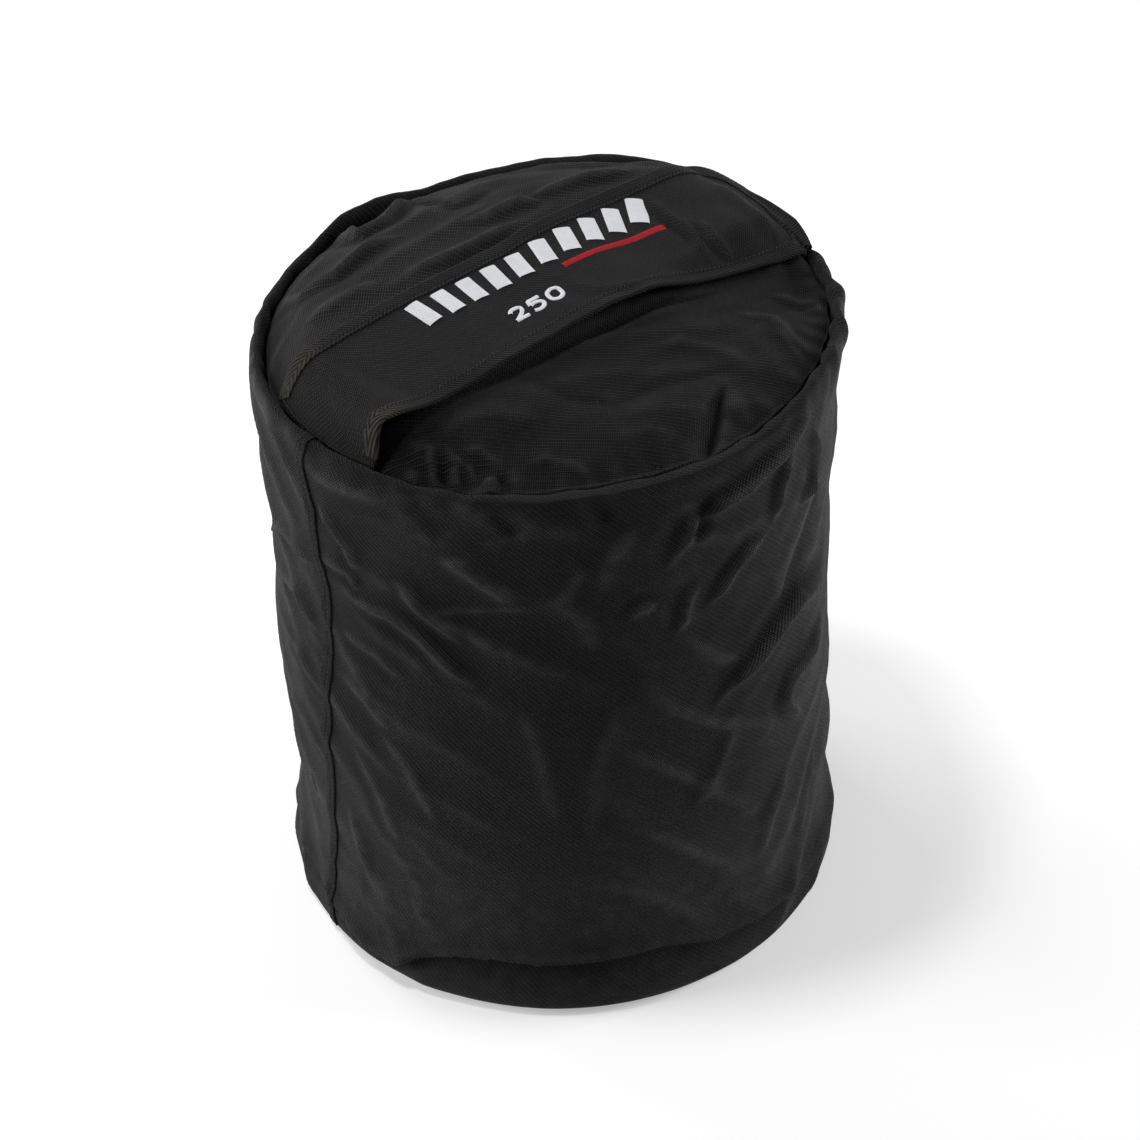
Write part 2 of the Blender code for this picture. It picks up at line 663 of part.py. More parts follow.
def flap_end(across):
    """How far the flap reaches at a place across it. Its far corner is rounded."""
    reach = math.sqrt(FLAP_END_RADIUS ** 2 - across ** 2)
    into_corner = across - (FLAP_HALF_WIDTH - FLAP_CORNER_RADIUS)
    if into_corner <= 0:
        return reach
    return reach - FLAP_CORNER_RADIUS + math.sqrt(max(FLAP_CORNER_RADIUS ** 2 - into_corner ** 2, 0))


def corner_columns():
    """Places across the flap, in even turns round its far corner, from the corner's start to the far edge."""
    turns = [HALF_TURN / 2 * (1 - step / CORNER_STEPS) for step in range(CORNER_STEPS + 1)]
    corner = FLAP_HALF_WIDTH - FLAP_CORNER_RADIUS
    return [corner + FLAP_CORNER_RADIUS * math.cos(turn) for turn in turns]


def flap_columns():
    inner = FLAP_HALF_WIDTH - FLAP_TAPE_WIDTH
    return [-FLAP_HALF_WIDTH, -inner, -inner / 2, 0] + corner_columns()


def flap_stations(end):
    """Places along the flap, from its fold to its end. They are close where the dome curves."""
    left = [blend(-FOLD_REACH + GAP, 0, share) for share in FLAP_LEFT_SHARES]
    return left + [blend(FLAP_LEAVES_TOP, end, share) for share in FLAP_SLOPE_SHARES]


def flap_grid(lift):
    """Points of the flap's cloth: a row for each place along it."""
    columns = [[flap_point(x, y, lift) for x in flap_stations(flap_end(y))] for y in flap_columns()]
    return list(zip(*columns))


def tape_loop(x, y, outward):
    """The U of edge tape round the flap's cloth at one point of its edge. Outward is a plan direction."""
    edge = GAP + TAPE
    corners = (
        (-FLAP_TAPE_WIDTH, -GAP), (-FLAP_TAPE_WIDTH, -edge), (edge, -edge), (edge, CLOTH + edge),
        (-FLAP_TAPE_WIDTH, CLOTH + edge), (-FLAP_TAPE_WIDTH, CLOTH + GAP), (GAP, CLOTH + GAP), (GAP, -GAP),
    )
    return [flap_point(x + outward[0] * out, y + outward[1] * out, lift) for out, lift in corners]


def make_flap_tape(name, path, parent=None):
    """Edge tape along a path of plan points, with the outside of the flap on its left."""
    loops = []
    for index, (x, y) in enumerate(path):
        before = path[max(index - 1, 0)]
        after = path[min(index + 1, len(path) - 1)]
        run = Vector((after[0] - before[0], after[1] - before[1])).normalized()
        loops.append(tape_loop(x, y, (-run.y, run.x)))
    lofted(name, loops, tape_material(), parent)


def far_and_end_path():
    """Along the far edge, round the far corner and down the free end."""
    path = [(x, FLAP_HALF_WIDTH) for x in flap_stations(flap_end(FLAP_HALF_WIDTH))]
    return path + [(flap_end(y), y) for y in flap_columns()[-2::-1]]


def make_flap(pivot):
    plate("flap_panel", flap_grid(0), flap_grid(CLOTH), cloth_material(), pivot)
    make_flap_tape("flap_binding_far", far_and_end_path(), pivot)
    end = flap_end(-FLAP_HALF_WIDTH) - FLAP_TAPE_WIDTH - GAP
    near = [(x, -FLAP_HALF_WIDTH) for x in flap_stations(end)]
    make_flap_tape("flap_binding_near", near[::-1], pivot)


def make_flap_root():
    """The flap's sewn end, which dives into the groove."""
    lower, upper = (
        [[root_point(share, y, lift) for y in flap_columns()] for share in ROOT_ROW_SHARES] for lift in (0, CLOTH)
    )
    plate("flap_root", lower, upper, cloth_material())


def make_root_tapes():
    """Edge tape on the sewn end, down to where the groove closes on it."""
    edge = GAP + TAPE
    corners = (
        (-FLAP_TAPE_WIDTH, CLOTH + GAP), (GAP, CLOTH + GAP), (GAP, 0),
        (edge, 0), (edge, CLOTH + edge), (-FLAP_TAPE_WIDTH, CLOTH + edge),
    )
    for name, side in (("flap_root_binding_near", -1), ("flap_root_binding_far", 1)):
        loops = [
            [root_point(share, side * (FLAP_HALF_WIDTH + out), lift) for out, lift in corners]
            for share in ROOT_ROW_SHARES[:ROOT_TAPE_ROWS]
        ]
        lofted(name, loops, tape_material())


def strip_rows(height, lift, side):
    """A long strip beside the zipper, at a lift above a surface."""
    across = sorted((side * HOOK_INNER_EDGE, side * HOOK_OUTER_EDGE))
    xs = [blend(-HOOK_REACH, HOOK_REACH, step / STRIP_STEPS) for step in range(STRIP_STEPS + 1)]
    return [[lifted(height, x, y, lift) for y in across] for x in xs]


def make_hooks_and_loops(pivot):
    for name, side in (("front", -1), ("rear", 1)):
        plate(
            "loop_tape_" + name, strip_rows(dome_height, GAP, side),
            strip_rows(dome_height, GAP + HOOK_THICKNESS, side), tape_material(),
        )
        top = STANDOFF - GAP
        plate(
            "flap_hook_tape_" + name, strip_rows(flap_rest_height, top - HOOK_THICKNESS, side),
            strip_rows(flap_rest_height, top, side), tape_material(), pivot,
        )


def fold_axis_points():
    """Two points of the fold's axis: along the flap's tilt, level with the highest part of its edge."""
    top = CLOTH + GAP + TAPE
    edge = [flap_point(-FOLD_REACH, y, top) for y in flap_columns()]
    slope = (edge[-1].z - edge[0].z) / (edge[-1].y - edge[0].y)
    height = max(point.z - slope * point.y for point in edge)
    return Vector((-FOLD_REACH, 0, height)), Vector((0, 1, slope)).normalized()


# Liner and filling

def liner_height(x, y, drop, shrink):
    """The liner's top under the outer bag's, with a trough for the zipper and the neck."""
    scale = GROOVE_RADIUS / shrink
    away = smooth_step((abs(y) - TROUGH_FLOOR) / (TROUGH_EDGE - TROUGH_FLOOR))
    return dome_height(x * scale, y * scale) - drop - TROUGH_DEPTH * (1 - away)


def filled_shape(name, inset, finish):
    """A solid that fills the outer bag, an inset away from the cloth."""
    drop = LINER_DROP + inset
    dome_radius = GROOVE_RADIUS - LINER_SLACK - CLOTH - TAPE - inset
    base_radius = FLOOR_RADIUS - BASE_SEAM_GAP - CLOTH - 2 * GAP - TAPE - inset
    floor = CLOTH + GAP + inset
    wall_top = LINER_SHOULDER - inset
    face = [(r, z) for r, z in side_face() if ROLL_HEIGHT + SEAM_ALLOWANCE / 2 < z < LINER_SHOULDER - SEAM_ALLOWANCE]
    wall = offset_line(face, CLOTH + GAP + inset)
    bm = bmesh.new()
    turns = [2 * math.pi * step / RING_STEPS for step in range(RING_STEPS)]
    rings = []
    for share in LINER_RING_SHARES:
        spots = [(dome_radius * share * math.cos(t), dome_radius * share * math.sin(t)) for t in turns]
        rings.append([bm.verts.new((x, y, liner_height(x, y, drop, dome_radius))) for x, y in spots])
    outline = [(dome_radius, wall_top), (wall[-1][0] - SEAM_GAP, wall_top)] + wall[::-1]
    outline += [(wall[0][0], ROLL_HEIGHT + inset), (base_radius, ROLL_HEIGHT + inset), (base_radius, floor)]
    for radius, height in outline:
        rings.append([bm.verts.new((radius * math.cos(t), radius * math.sin(t), height)) for t in turns])
    for upper, lower in zip(rings, rings[1:]):
        for i in range(RING_STEPS):
            j = (i + 1) % RING_STEPS
            bm.faces.new((upper[i], lower[i], lower[j]))
            bm.faces.new((upper[i], lower[j], upper[j]))
    middle = bm.verts.new((0, 0, liner_height(0, 0, drop, dome_radius)))
    for i in range(RING_STEPS):
        bm.faces.new((middle, rings[0][i], rings[0][(i + 1) % RING_STEPS]))
    bm.faces.new(rings[-1][::-1])
    return add_object(name, bm, finish)


def trough_height():
    return liner_height(0, 0, LINER_DROP, GROOVE_RADIUS - LINER_SLACK - CLOTH - TAPE)


def make_liner():
    finish = material("liner_cloth", LINER_GREY, 0.6)
    liner = filled_shape("liner_bag", 0, finish)
    hollow = filled_shape("liner_hollow", LINER, finish)
    top = trough_height()
    mouth = block(
        "liner_mouth", (-MOUTH_LENGTH / 2, MOUTH_LENGTH / 2), (-MOUTH_WIDTH / 2, MOUTH_WIDTH / 2),
        (top - CUT_OVERRUN, top + CUT_OVERRUN), finish,
    )
    for cutter in (hollow, mouth):
        hide_cutter(cutter)
        combine(liner, cutter, "DIFFERENCE")
    filled_shape("sand_fill", LINER + GAP, material("sand", SAND_BROWN, 0.95))


def make_liner_neck():
    """A flat sleeve on the mouth. It rises, folds over to the front and lies on its closure tapes."""
    finish = material("liner_cloth", LINER_GREY, 0.6)
    half = NECK_WALL + NECK_GAP / 2
    base = trough_height() + GAP
    lie = base + 2 * CLOSURE_THICKNESS + GAP + half + GAP
    bend = (-half - NECK_WALL, lie - half - NECK_WALL)
    radius = half + NECK_WALL
    path = [(0, base)] + arc_points(bend, (radius, radius), 0, HALF_TURN / 2, NECK_STEPS)
    path.append((bend[0] - NECK_FOLD, path[-1][1]))
    outer_left = offset_line(path, half)
    outer_right = offset_line(path, -half)
    inner_left = offset_line(path, NECK_GAP / 2)
    inner_right = offset_line(path, -NECK_GAP / 2)
    outer_reach = MOUTH_LENGTH / 2 + NECK_RISE
    inner_reach = outer_reach - NECK_WALL
    bm = bmesh.new()
    stations = []
    for i in range(len(path)):
        ring = []
        for left, right, reach in ((outer_left, outer_right, outer_reach), (inner_left, inner_right, inner_reach)):
            corners = ((-reach, left[i]), (reach, left[i]), (reach, right[i]), (-reach, right[i]))
            ring.append([bm.verts.new((x, y, z)) for x, (y, z) in corners])
        stations.append(ring)
    for (outer_a, inner_a), (outer_b, inner_b) in zip(stations, stations[1:]):
        for i in range(4):
            j = (i + 1) % 4
            bm.faces.new((outer_a[i], outer_a[j], outer_b[j], outer_b[i]))
            bm.faces.new((inner_a[j], inner_a[i], inner_b[i], inner_b[j]))
    for ring in (stations[0], stations[-1]):
        for i in range(4):
            j = (i + 1) % 4
            bm.faces.new((ring[0][i], ring[0][j], ring[1][j], ring[1][i]))
    add_object("liner_neck", bm, finish)
    across = (path[-1][0] + CLOTH, path[-1][0] + CLOTH + CLOSURE_WIDTH)
    along = (-CLOSURE_LENGTH / 2, CLOSURE_LENGTH / 2)
    low = base
    for name in ("liner_loop_tape", "liner_hook_tape"):
        block(name, along, across, (low, low + CLOSURE_THICKNESS), tape_material())
        low += CLOSURE_THICKNESS + GAP


def make_outer_bag():
    make_side_panel()
    make_side_seam_strip()
    make_bottom_panel()
    make_seam_bindings()
    make_top_panel("top_panel_front", -1)
    make_top_panel("top_panel_rear", 1)


def make_zipper():
    make_zipper_tape("zipper_tape_front", -1)
    make_zipper_tape("zipper_tape_rear", 1)
    make_zipper_teeth("zipper_teeth_front", -1, 0)
    make_zipper_teeth("zipper_teeth_rear", 1, TOOTH_SHIFT_SHARE)
    make_zipper_stops()
    make_slider()
    make_pull()


def build():
    clear_scene()
    make_outer_bag()
    make_zipper()
    fold_point, fold_axis = fold_axis_points()
    fold = add_pivot("flap_origin", fold_point)
    make_flap(fold)
    make_hooks_and_loops(fold)
    make_flap_root()
    make_root_tapes()
    make_liner()
    make_liner_neck()
    print("fold axis", tuple(fold_point), tuple(fold_axis))
    print("pull axis", (SLIDER_REST, 0, PULL_AXIS_HEIGHT), "slider travel", SLIDER_TRAVEL)


build()
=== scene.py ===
"""Looks of the loadable strength-training sandbag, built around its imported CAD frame.

Metres, +Z up. +X runs along the flap toward its free end. Pixels are those of the 1140 by 1140 photograph.
"""

import math

import bpy
import numpy as np
from mathutils import Matrix, Vector


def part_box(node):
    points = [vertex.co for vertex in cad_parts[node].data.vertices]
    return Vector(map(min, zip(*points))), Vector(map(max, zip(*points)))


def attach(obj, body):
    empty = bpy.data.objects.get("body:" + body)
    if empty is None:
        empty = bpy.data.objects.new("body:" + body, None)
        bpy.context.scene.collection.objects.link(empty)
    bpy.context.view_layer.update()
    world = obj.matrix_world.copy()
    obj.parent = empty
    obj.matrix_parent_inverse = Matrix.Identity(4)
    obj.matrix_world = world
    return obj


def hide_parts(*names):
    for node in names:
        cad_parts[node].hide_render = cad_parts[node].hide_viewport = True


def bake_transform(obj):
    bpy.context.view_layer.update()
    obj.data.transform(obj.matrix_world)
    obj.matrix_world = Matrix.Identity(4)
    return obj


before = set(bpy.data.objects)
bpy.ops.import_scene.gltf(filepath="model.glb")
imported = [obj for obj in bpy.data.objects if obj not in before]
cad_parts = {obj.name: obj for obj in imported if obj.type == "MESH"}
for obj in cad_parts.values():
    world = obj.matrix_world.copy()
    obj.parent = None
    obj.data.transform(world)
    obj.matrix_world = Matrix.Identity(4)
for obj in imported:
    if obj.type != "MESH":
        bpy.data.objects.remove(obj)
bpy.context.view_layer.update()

# Camera, fitted to the photograph
PHOTO_SIZE = 1140
SENSOR_WIDTH = 36.0
CAMERA_PLACE = (-1.2071, -1.4386, 1.7447)
CAMERA_YAW = math.radians(-40.355)
CAMERA_PITCH = math.radians(38.345)
CAMERA_ROLL = math.radians(-1.853)
CAMERA_FOCAL_PIXELS = 3117.75

# Bag
BAG_RADIUS = 0.2165
GROOVE_RADIUS = 0.2040       # where the top's edge dives into the seam
LIP_INNER_RADIUS = 0.2054    # where the wall's edge dives into the seam
GROOVE_HEIGHT = 0.4830
FLOOR_RADIUS = 0.2105
ROLL_HEIGHT = 0.0110
SEAM_DEPTH = 0.0090
CLOTH = 0.0012
LIP_RISE = 0.0100
LIP_CREST_RADIUS = 0.2105
TOP_EDGE_RADIUS = 0.2030     # the top's own edge, with a dark gap before the wall's
TOP_EDGE_CLOSED = 0.0021     # how much closer the two edges meet at the rear
LIP_SHOULDER = 0.0200        # how far down the outside the cloth starts to turn in
LEAN = 0.0106                # the rim stands this much higher at one side, and lower at the other
LEAN_ANGLE = math.radians(-62)
FIRST_ANGLE = math.radians(-290)
WALL_COLUMNS = 440
WALL_ROWS = 190
SEAM_STRIP_WIDTH = 0.0130
DEEPEST = 0.0050             # the wall's hollows stay clear of what is inside
FOLD_STRENGTH = 1.60

# Top
DOME_RISE = 0.0340
DOME_TILT = 0.0090
TILT_REACH = 0.0560
FRONT_SLOPE_START = 0.1200
FRONT_FULLNESS = 4.2
BAND_FULLNESS = 14
REAR_FULLNESS = 7
REAR_SLOPE_START = 0.0540
REAR_SLOPE_REACH = 0.0600
OPENING_HALF_WIDTH = 0.0090
DIP_HALF_WIDTH = 0.0200
ZIPPER_HEIGHT = 0.5060
SLIT_REACH = 0.1840
SLUMP = 0.0145

# Flap
FLAP_HALF_WIDTH = 0.0500
FOLD_REACH = 0.1720
FLAP_CORNER_RADIUS = 0.0250
STANDOFF = 0.0033
ROOT_LIFT = 0.0006
TAPE_WIDTH = 0.0110
TAPE_THICKNESS = 0.0009
HERRINGBONE_PITCH = 0.0031


# Camera maths

def camera_axes():
    forward = np.array([
        -math.sin(CAMERA_YAW) * math.cos(CAMERA_PITCH),
        math.cos(CAMERA_YAW) * math.cos(CAMERA_PITCH),
        -math.sin(CAMERA_PITCH),
    ])
    level = np.array([math.cos(CAMERA_YAW), math.sin(CAMERA_YAW), 0.0])
    up = np.cross(level, forward)
    right = level * math.cos(CAMERA_ROLL) + up * math.sin(CAMERA_ROLL)
    above = -level * math.sin(CAMERA_ROLL) + up * math.cos(CAMERA_ROLL)
    return forward, right, above


def pixel_ray(px, py):
    forward, right, above = camera_axes()
    across = (px - PHOTO_SIZE / 2) / CAMERA_FOCAL_PIXELS
    down = (py - PHOTO_SIZE / 2) / CAMERA_FOCAL_PIXELS
    return forward + right * across - above * down


def add_object(name, data):
    made = bpy.data.objects.new(name, data)
    bpy.context.scene.collection.objects.link(made)
    return made


def make_camera():
    forward, right, above = camera_axes()
    data = bpy.data.cameras.new("camera")
    data.sensor_width = SENSOR_WIDTH
    data.lens = CAMERA_FOCAL_PIXELS / PHOTO_SIZE * SENSOR_WIDTH
    camera = add_object("camera", data)
    columns = np.column_stack([right, above, -forward])
    matrix = Matrix([list(row) for row in columns]).to_4x4()
    matrix.translation = CAMERA_PLACE
    camera.matrix_world = matrix
    bpy.context.scene.camera = camera


# Shapes shared by the pieces

def smooth(value):
    held = np.clip(value, 0, 1)
    return held * held * (3 - 2 * held)


def mix(first, second, share):
    return first + (second - first) * share


def table_value(table, place, **beyond):
    """Reads a table of places and values, in a straight line from each place to the next."""
    return np.interp(place, [at for at, _ in table], [value for _, value in table], **beyond)


def in_degrees(angle):
    """An angle in degrees, from -180 to 180."""
    return np.mod(np.degrees(angle) + 180, 360) - 180


def hump(place, middle, reach):
    """A smooth hump that is 1 at its middle."""
    return np.exp(-((place - middle) / reach) ** 2)


def lean_at(x, y):
    return LEAN * (x * math.cos(LEAN_ANGLE) + y * math.sin(LEAN_ANGLE)) / BAG_RADIUS


# Height and radius of the wall, below the rim
WALL_PROFILE = (
    (0.0116, 0.2192), (0.0230, 0.2190), (0.0340, 0.2160), (0.0470, 0.2126), (0.0885, 0.2096),
    (0.1500, 0.2106), (0.2377, 0.2134), (0.3355, 0.2112), (0.4000, 0.2134), (0.4497, 0.2162),
    (0.4730, 0.2165),
)


def spline(values, count):
    """A smooth line through points, as evenly spaced points."""
    points = np.array(values, float)
    ends = np.vstack([2 * points[0] - points[1], points, 2 * points[-1] - points[-2]])
    out = []
    for i in range(1, len(ends) - 2):
        a, b, c, d = ends[i - 1:i + 3]
        for t in np.linspace(0, 1, 24, endpoint=False):
            out.append(0.5 * (2 * b + (c - a) * t + (2 * a - 5 * b + 4 * c - d) * t ** 2
                              + (3 * b - a - 3 * c + d) * t ** 3))
    out.append(points[-1])
    return resample(np.array(out), count)


def distances(line):
    """How far along a line each of its points lies."""
    steps = np.linalg.norm(np.diff(np.asarray(line, float), axis=0), axis=1)
    return np.concatenate([[0], np.cumsum(steps)])


def resample(points, count):
    along = distances(points)
    places = np.linspace(0, along[-1], count)
    return np.column_stack([np.interp(places, along, points[:, k]) for k in range(points.shape[1])])


def wall_profile():
    """Radius and height along the wall, from the seam under the base to the seam at the top."""
    turns = np.linspace(-math.pi / 2, 0, 12)
    inner = [(FLOOR_RADIUS, 0.0080), (FLOOR_RADIUS, 0.0030)]
    roll_out = WALL_PROFILE[0][1] - FLOOR_RADIUS
    roll = [(FLOOR_RADIUS + roll_out * math.cos(t), 0.0006 + ROLL_HEIGHT * (1 + math.sin(t))) for t in turns]
    wall = [(r, z) for z, r in WALL_PROFILE[1:-1]]
    shoulder = GROOVE_HEIGHT + LIP_RISE - LIP_SHOULDER
    wall = [tuple(p) for p in spline([roll[-1]] + wall + [(BAG_RADIUS, shoulder)], 220)][1:-1]
    quarter = np.linspace(0, math.pi / 2, 18)
    out_reach = BAG_RADIUS - LIP_CREST_RADIUS
    in_reach = LIP_CREST_RADIUS - LIP_INNER_RADIUS
    lip = [(LIP_CREST_RADIUS + out_reach * math.cos(t), shoulder + LIP_SHOULDER * math.sin(t))
           for t in quarter]
    lip += [(LIP_CREST_RADIUS - in_reach * math.sin(t), GROOVE_HEIGHT + LIP_RISE * math.cos(t))
            for t in quarter[1:]]
    down = [(LIP_INNER_RADIUS, GROOVE_HEIGHT - SEAM_DEPTH)]
    return resample(np.array(inner + roll + wall + lip + down), WALL_ROWS)


PROFILE = wall_profile()
PROFILE_NORMALS = np.gradient(PROFILE, axis=0)
PROFILE_NORMALS = np.column_stack([PROFILE_NORMALS[:, 1], -PROFILE_NORMALS[:, 0]])
PROFILE_NORMALS /= np.linalg.norm(PROFILE_NORMALS, axis=1)[:, None]
ROW_SHARES = np.linspace(0, 1, WALL_ROWS)
CREST_ROW = int(np.argmax(PROFILE[:, 1]))
PROFILE_COLUMNS = (*PROFILE.T, *PROFILE_NORMALS.T)


def share_at_height(z):
    """Where on the wall's profile a height lies, below the rim."""
    low = int(np.argmin(PROFILE[:, 1]))
    return np.interp(z, PROFILE[low:CREST_ROW, 1], ROW_SHARES[low:CREST_ROW])


def dome_height(x, y):
    rise = DOME_RISE + DOME_TILT * np.clip(y / TILT_REACH, -1, 1)
    toward_band = smooth((y + FRONT_SLOPE_START) / (FRONT_SLOPE_START - FLAP_HALF_WIDTH))
    fullness = mix(FRONT_FULLNESS, BAND_FULLNESS, toward_band)
    fullness = mix(fullness, REAR_FULLNESS, smooth((y - REAR_SLOPE_START) / REAR_SLOPE_REACH))
    share = np.clip(np.hypot(x, y) / GROOVE_RADIUS, 0, 1)
    lean = lean_at(x, y) * smooth((np.hypot(x, y) - 0.09) / 0.10)
    return GROOVE_HEIGHT + rise * (1 - share ** fullness) + lean


def on_wall(px, py):
    """Angle and height of the wall's point that a pixel shows."""
    ray = pixel_ray(px, py)
    start = np.array(CAMERA_PLACE)
    radius = BAG_RADIUS
    for _ in range(8):
        a = ray[0] ** 2 + ray[1] ** 2
        b = 2 * (start[0] * ray[0] + start[1] * ray[1])
        c = start[0] ** 2 + start[1] ** 2 - radius ** 2
        inside = max(b * b - 4 * a * c, 0)
        hit = start + ray * (-b - math.sqrt(inside)) / (2 * a)
        height = hit[2] - lean_at(hit[0], hit[1]) * min(max(hit[2] / GROOVE_HEIGHT, 0), 1)
        radius = float(table_value(WALL_PROFILE, height))
    angle = math.atan2(hit[1], hit[0])
    if angle > FIRST_ANGLE + 2 * math.pi:
        angle -= 2 * math.pi
    return angle, height


def on_top(px, py, surface=dome_height):
    """Place on the top that a pixel shows."""
    ray = pixel_ray(px, py)
    start = np.array(CAMERA_PLACE)
    height = 0.51
    for _ in range(12):
        hit = start + ray * (height - start[2]) / ray[2]
        height = float(surface(hit[0], hit[1]))
    return hit[0], hit[1]


# Folds

def fold_height(u, v, line, height, width, valley=0.30):
    """A fold along a line of (u, v) places, with a hollow beside it. It fades toward both ends."""
    line = np.array(line, float)
    steps = np.diff(line, axis=0)
    lengths = np.linalg.norm(steps, axis=1)
    along = distances(line)
    reach = 3.2 * width
    near = ((u > line[:, 0].min() - reach) & (u < line[:, 0].max() + reach)
            & (v > line[:, 1].min() - reach) & (v < line[:, 1].max() + reach))
    out = np.zeros_like(u)
    if not near.any():
        return out
    pu, pv = u[near], v[near]
    best = np.full(pu.shape, 1e9)
    side = np.zeros(pu.shape)
    share = np.zeros(pu.shape)
    for i, step in enumerate(steps):
        du, dv = pu - line[i, 0], pv - line[i, 1]
        t = np.clip((du * step[0] + dv * step[1]) / (lengths[i] ** 2 + 1e-12), 0, 1)
        off_u, off_v = du - t * step[0], dv - t * step[1]
        distance = np.hypot(off_u, off_v)
        closer = distance < best
        best = np.where(closer, distance, best)
        side = np.where(closer, np.sign(step[0] * dv - step[1] * du), side)
        share = np.where(closer, (along[i] + t * lengths[i]) / along[-1], share)
    fade = smooth(share / 0.3) * smooth((1 - share) / 0.3)
    taper = 0.35 + 0.65 * fade
    ridge = np.exp(-np.sqrt((best / (width * taper)) ** 2 + 0.09) * 1.25 + 0.375)
    hollow = np.exp(-((best * side + 1.7 * width) / (1.2 * width)) ** 2)
    out[near] = height * fade * (ridge - valley * hollow)
    return out


def ripples(u, v, seed, count, longest, shortest, heading, spread, period=None):
    """So many soft waves, from the longest length to the shortest, which head about one way, in degrees."""
    rng = np.random.default_rng(seed)
    heading, spread = math.radians(heading), math.radians(spread)
    total = np.zeros_like(u)
    for _ in range(count):
        length = longest * (shortest / longest) ** rng.random()
        turn = heading + spread * (2 * rng.random() - 1)
        ku = 2 * math.pi / length * math.cos(turn)
        kv = 2 * math.pi / length * math.sin(turn)
        if period:
            ku = round(ku * period / (2 * math.pi)) * 2 * math.pi / period
        total += length / longest * np.sin(ku * u + kv * v + rng.random() * 2 * math.pi)
    return total / math.sqrt(count)


def creases(u, v, seed, count, longest, shortest, heading, spread, period=None):
    """Thin ridges that wander about one way and meet, with soft hollows between them."""
    waves = 1.7 * ripples(u, v, seed, count, longest, shortest, heading, spread, period)
    return 0.48 - np.sqrt(waves ** 2 + 0.030)


# Folds of the wall that the photograph shows: pixels along the ridge, height and half width in metres
WALL_FOLDS = (
    (((308, 472), (331, 482), (365, 493), (400, 500)), 0.0030, 0.0070),
    (((316, 497), (327, 518), (348, 545), (354, 562), (367, 568)), 0.0034, 0.0055),
    (((320, 556), (348, 570), (356, 585), (365, 587)), 0.0026, 0.0045),
    (((335, 579), (360, 600), (390, 615), (419, 638), (451, 669), (483, 695)), 0.0045, 0.0075),
    (((386, 575), (403, 587), (419, 608), (440, 627), (468, 650)), 0.0034, 0.0060),
    (((432, 558), (461, 568), (483, 583), (525, 610)), 0.0024, 0.0080),
    (((339, 627), (377, 653), (409, 684)), 0.0030, 0.0060),
    (((336, 670), (365, 700), (392, 735)), 0.0022, 0.0070),
    (((270, 526), (280, 528), (310, 560), (316, 581)), 0.0026, 0.0050),
    (((276, 560), (296, 590), (322, 640)), 0.0026, 0.0050),
    (((281, 610), (300, 650), (324, 700)), 0.0024, 0.0055),
    (((290, 680), (308, 720), (326, 765)), 0.0022, 0.0060),
    (((819, 400), (796, 434), (771, 462), (743, 489), (707, 515), (691, 531), (674, 558), (663, 577)),
     0.0050, 0.0065),
    (((792, 444), (781, 480), (773, 526)), 0.0034, 0.0050),
    (((769, 533), (748, 551), (734, 570), (713, 602), (707, 613)), 0.0036, 0.0055),
    (((704, 584), (691, 595), (684, 623), (677, 636)), 0.0026, 0.0050),
    (((814, 423), (819, 450), (814, 487), (796, 510)), 0.0034, 0.0050),
    (((828, 556), (819, 574), (798, 597), (780, 625), (757, 657), (734, 685), (707, 721)), 0.0058, 0.0075),
    (((826, 602), (810, 650), (792, 675), (785, 696), (787, 705), (805, 719)), 0.0036, 0.0060),
    (((658, 604), (638, 611), (626, 623)), 0.0020, 0.0050),
    (((562, 547), (580, 574), (562, 602), (580, 618), (601, 662)), 0.0018, 0.0120),
    (((640, 520), (610, 560), (600, 600)), 0.0016, 0.0110),
    (((350, 740), (380, 790), (402, 850)), 0.0018, 0.0070),
    (((372, 720), (410, 770), (440, 830)), 0.0016, 0.0080),
    (((345, 800), (362, 850), (380, 900)), 0.0018, 0.0060),
    (((415, 611), (455, 613), (500, 612), (545, 609)), 0.0012, 0.0028),
    (((790, 760), (770, 810), (760, 860)), 0.0022, 0.0070),
    (((818, 740), (806, 790), (800, 840)), 0.0022, 0.0060),
    (((740, 720), (720, 770), (690, 820)), 0.0016, 0.0090),
    (((520, 700), (540, 760), (560, 830)), 0.0012, 0.0130),
    (((620, 700), (600, 760), (590, 840)), 0.0010, 0.0130),
)
# Hollows of the wall
WALL_HOLLOWS = (
    (((824, 476), (805, 542), (782, 611)), 0.0050, 0.0100),
    (((707, 497), (703, 520), (697, 545)), 0.0060, 0.0060),
    (((489, 503), (500, 520), (520, 540)), 0.0026, 0.0070),
    (((590, 492), (600, 508), (612, 526)), 0.0022, 0.0060),
    (((309, 778), (312, 784), (316, 792)), 0.0050, 0.0060),
    (((430, 480), (425, 510), (440, 545)), 0.0020, 0.0100),
)
# The seam's line low on the wall, from left to right
BASE_CREASE = (
    (322, 905), (345, 940), (388, 965), (417, 958), (459, 956), (501, 958), (539, 963), (565, 955),
    (598, 950), (648, 947), (691, 944), (714, 941), (747, 925), (770, 911), (788, 896),
)
# The side seam's dark line
SIDE_SEAM = (
    (314, 438), (302, 455), (300, 467), (310, 490), (316, 509), (318, 530), (318, 554), (327, 570),
    (331, 589), (331, 610), (333, 642), (331, 674), (329, 728), (331, 742), (334, 769), (333, 795),
    (338, 835), (333, 860), (333, 910), (337, 928),
)


def wall_lines(table):
    lines = []
    for pixels, height, width in table:
        places = [on_wall(px, py) for px, py in pixels]
        lines.append(([(angle * BAG_RADIUS, z) for angle, z in places], height, width))
    return lines


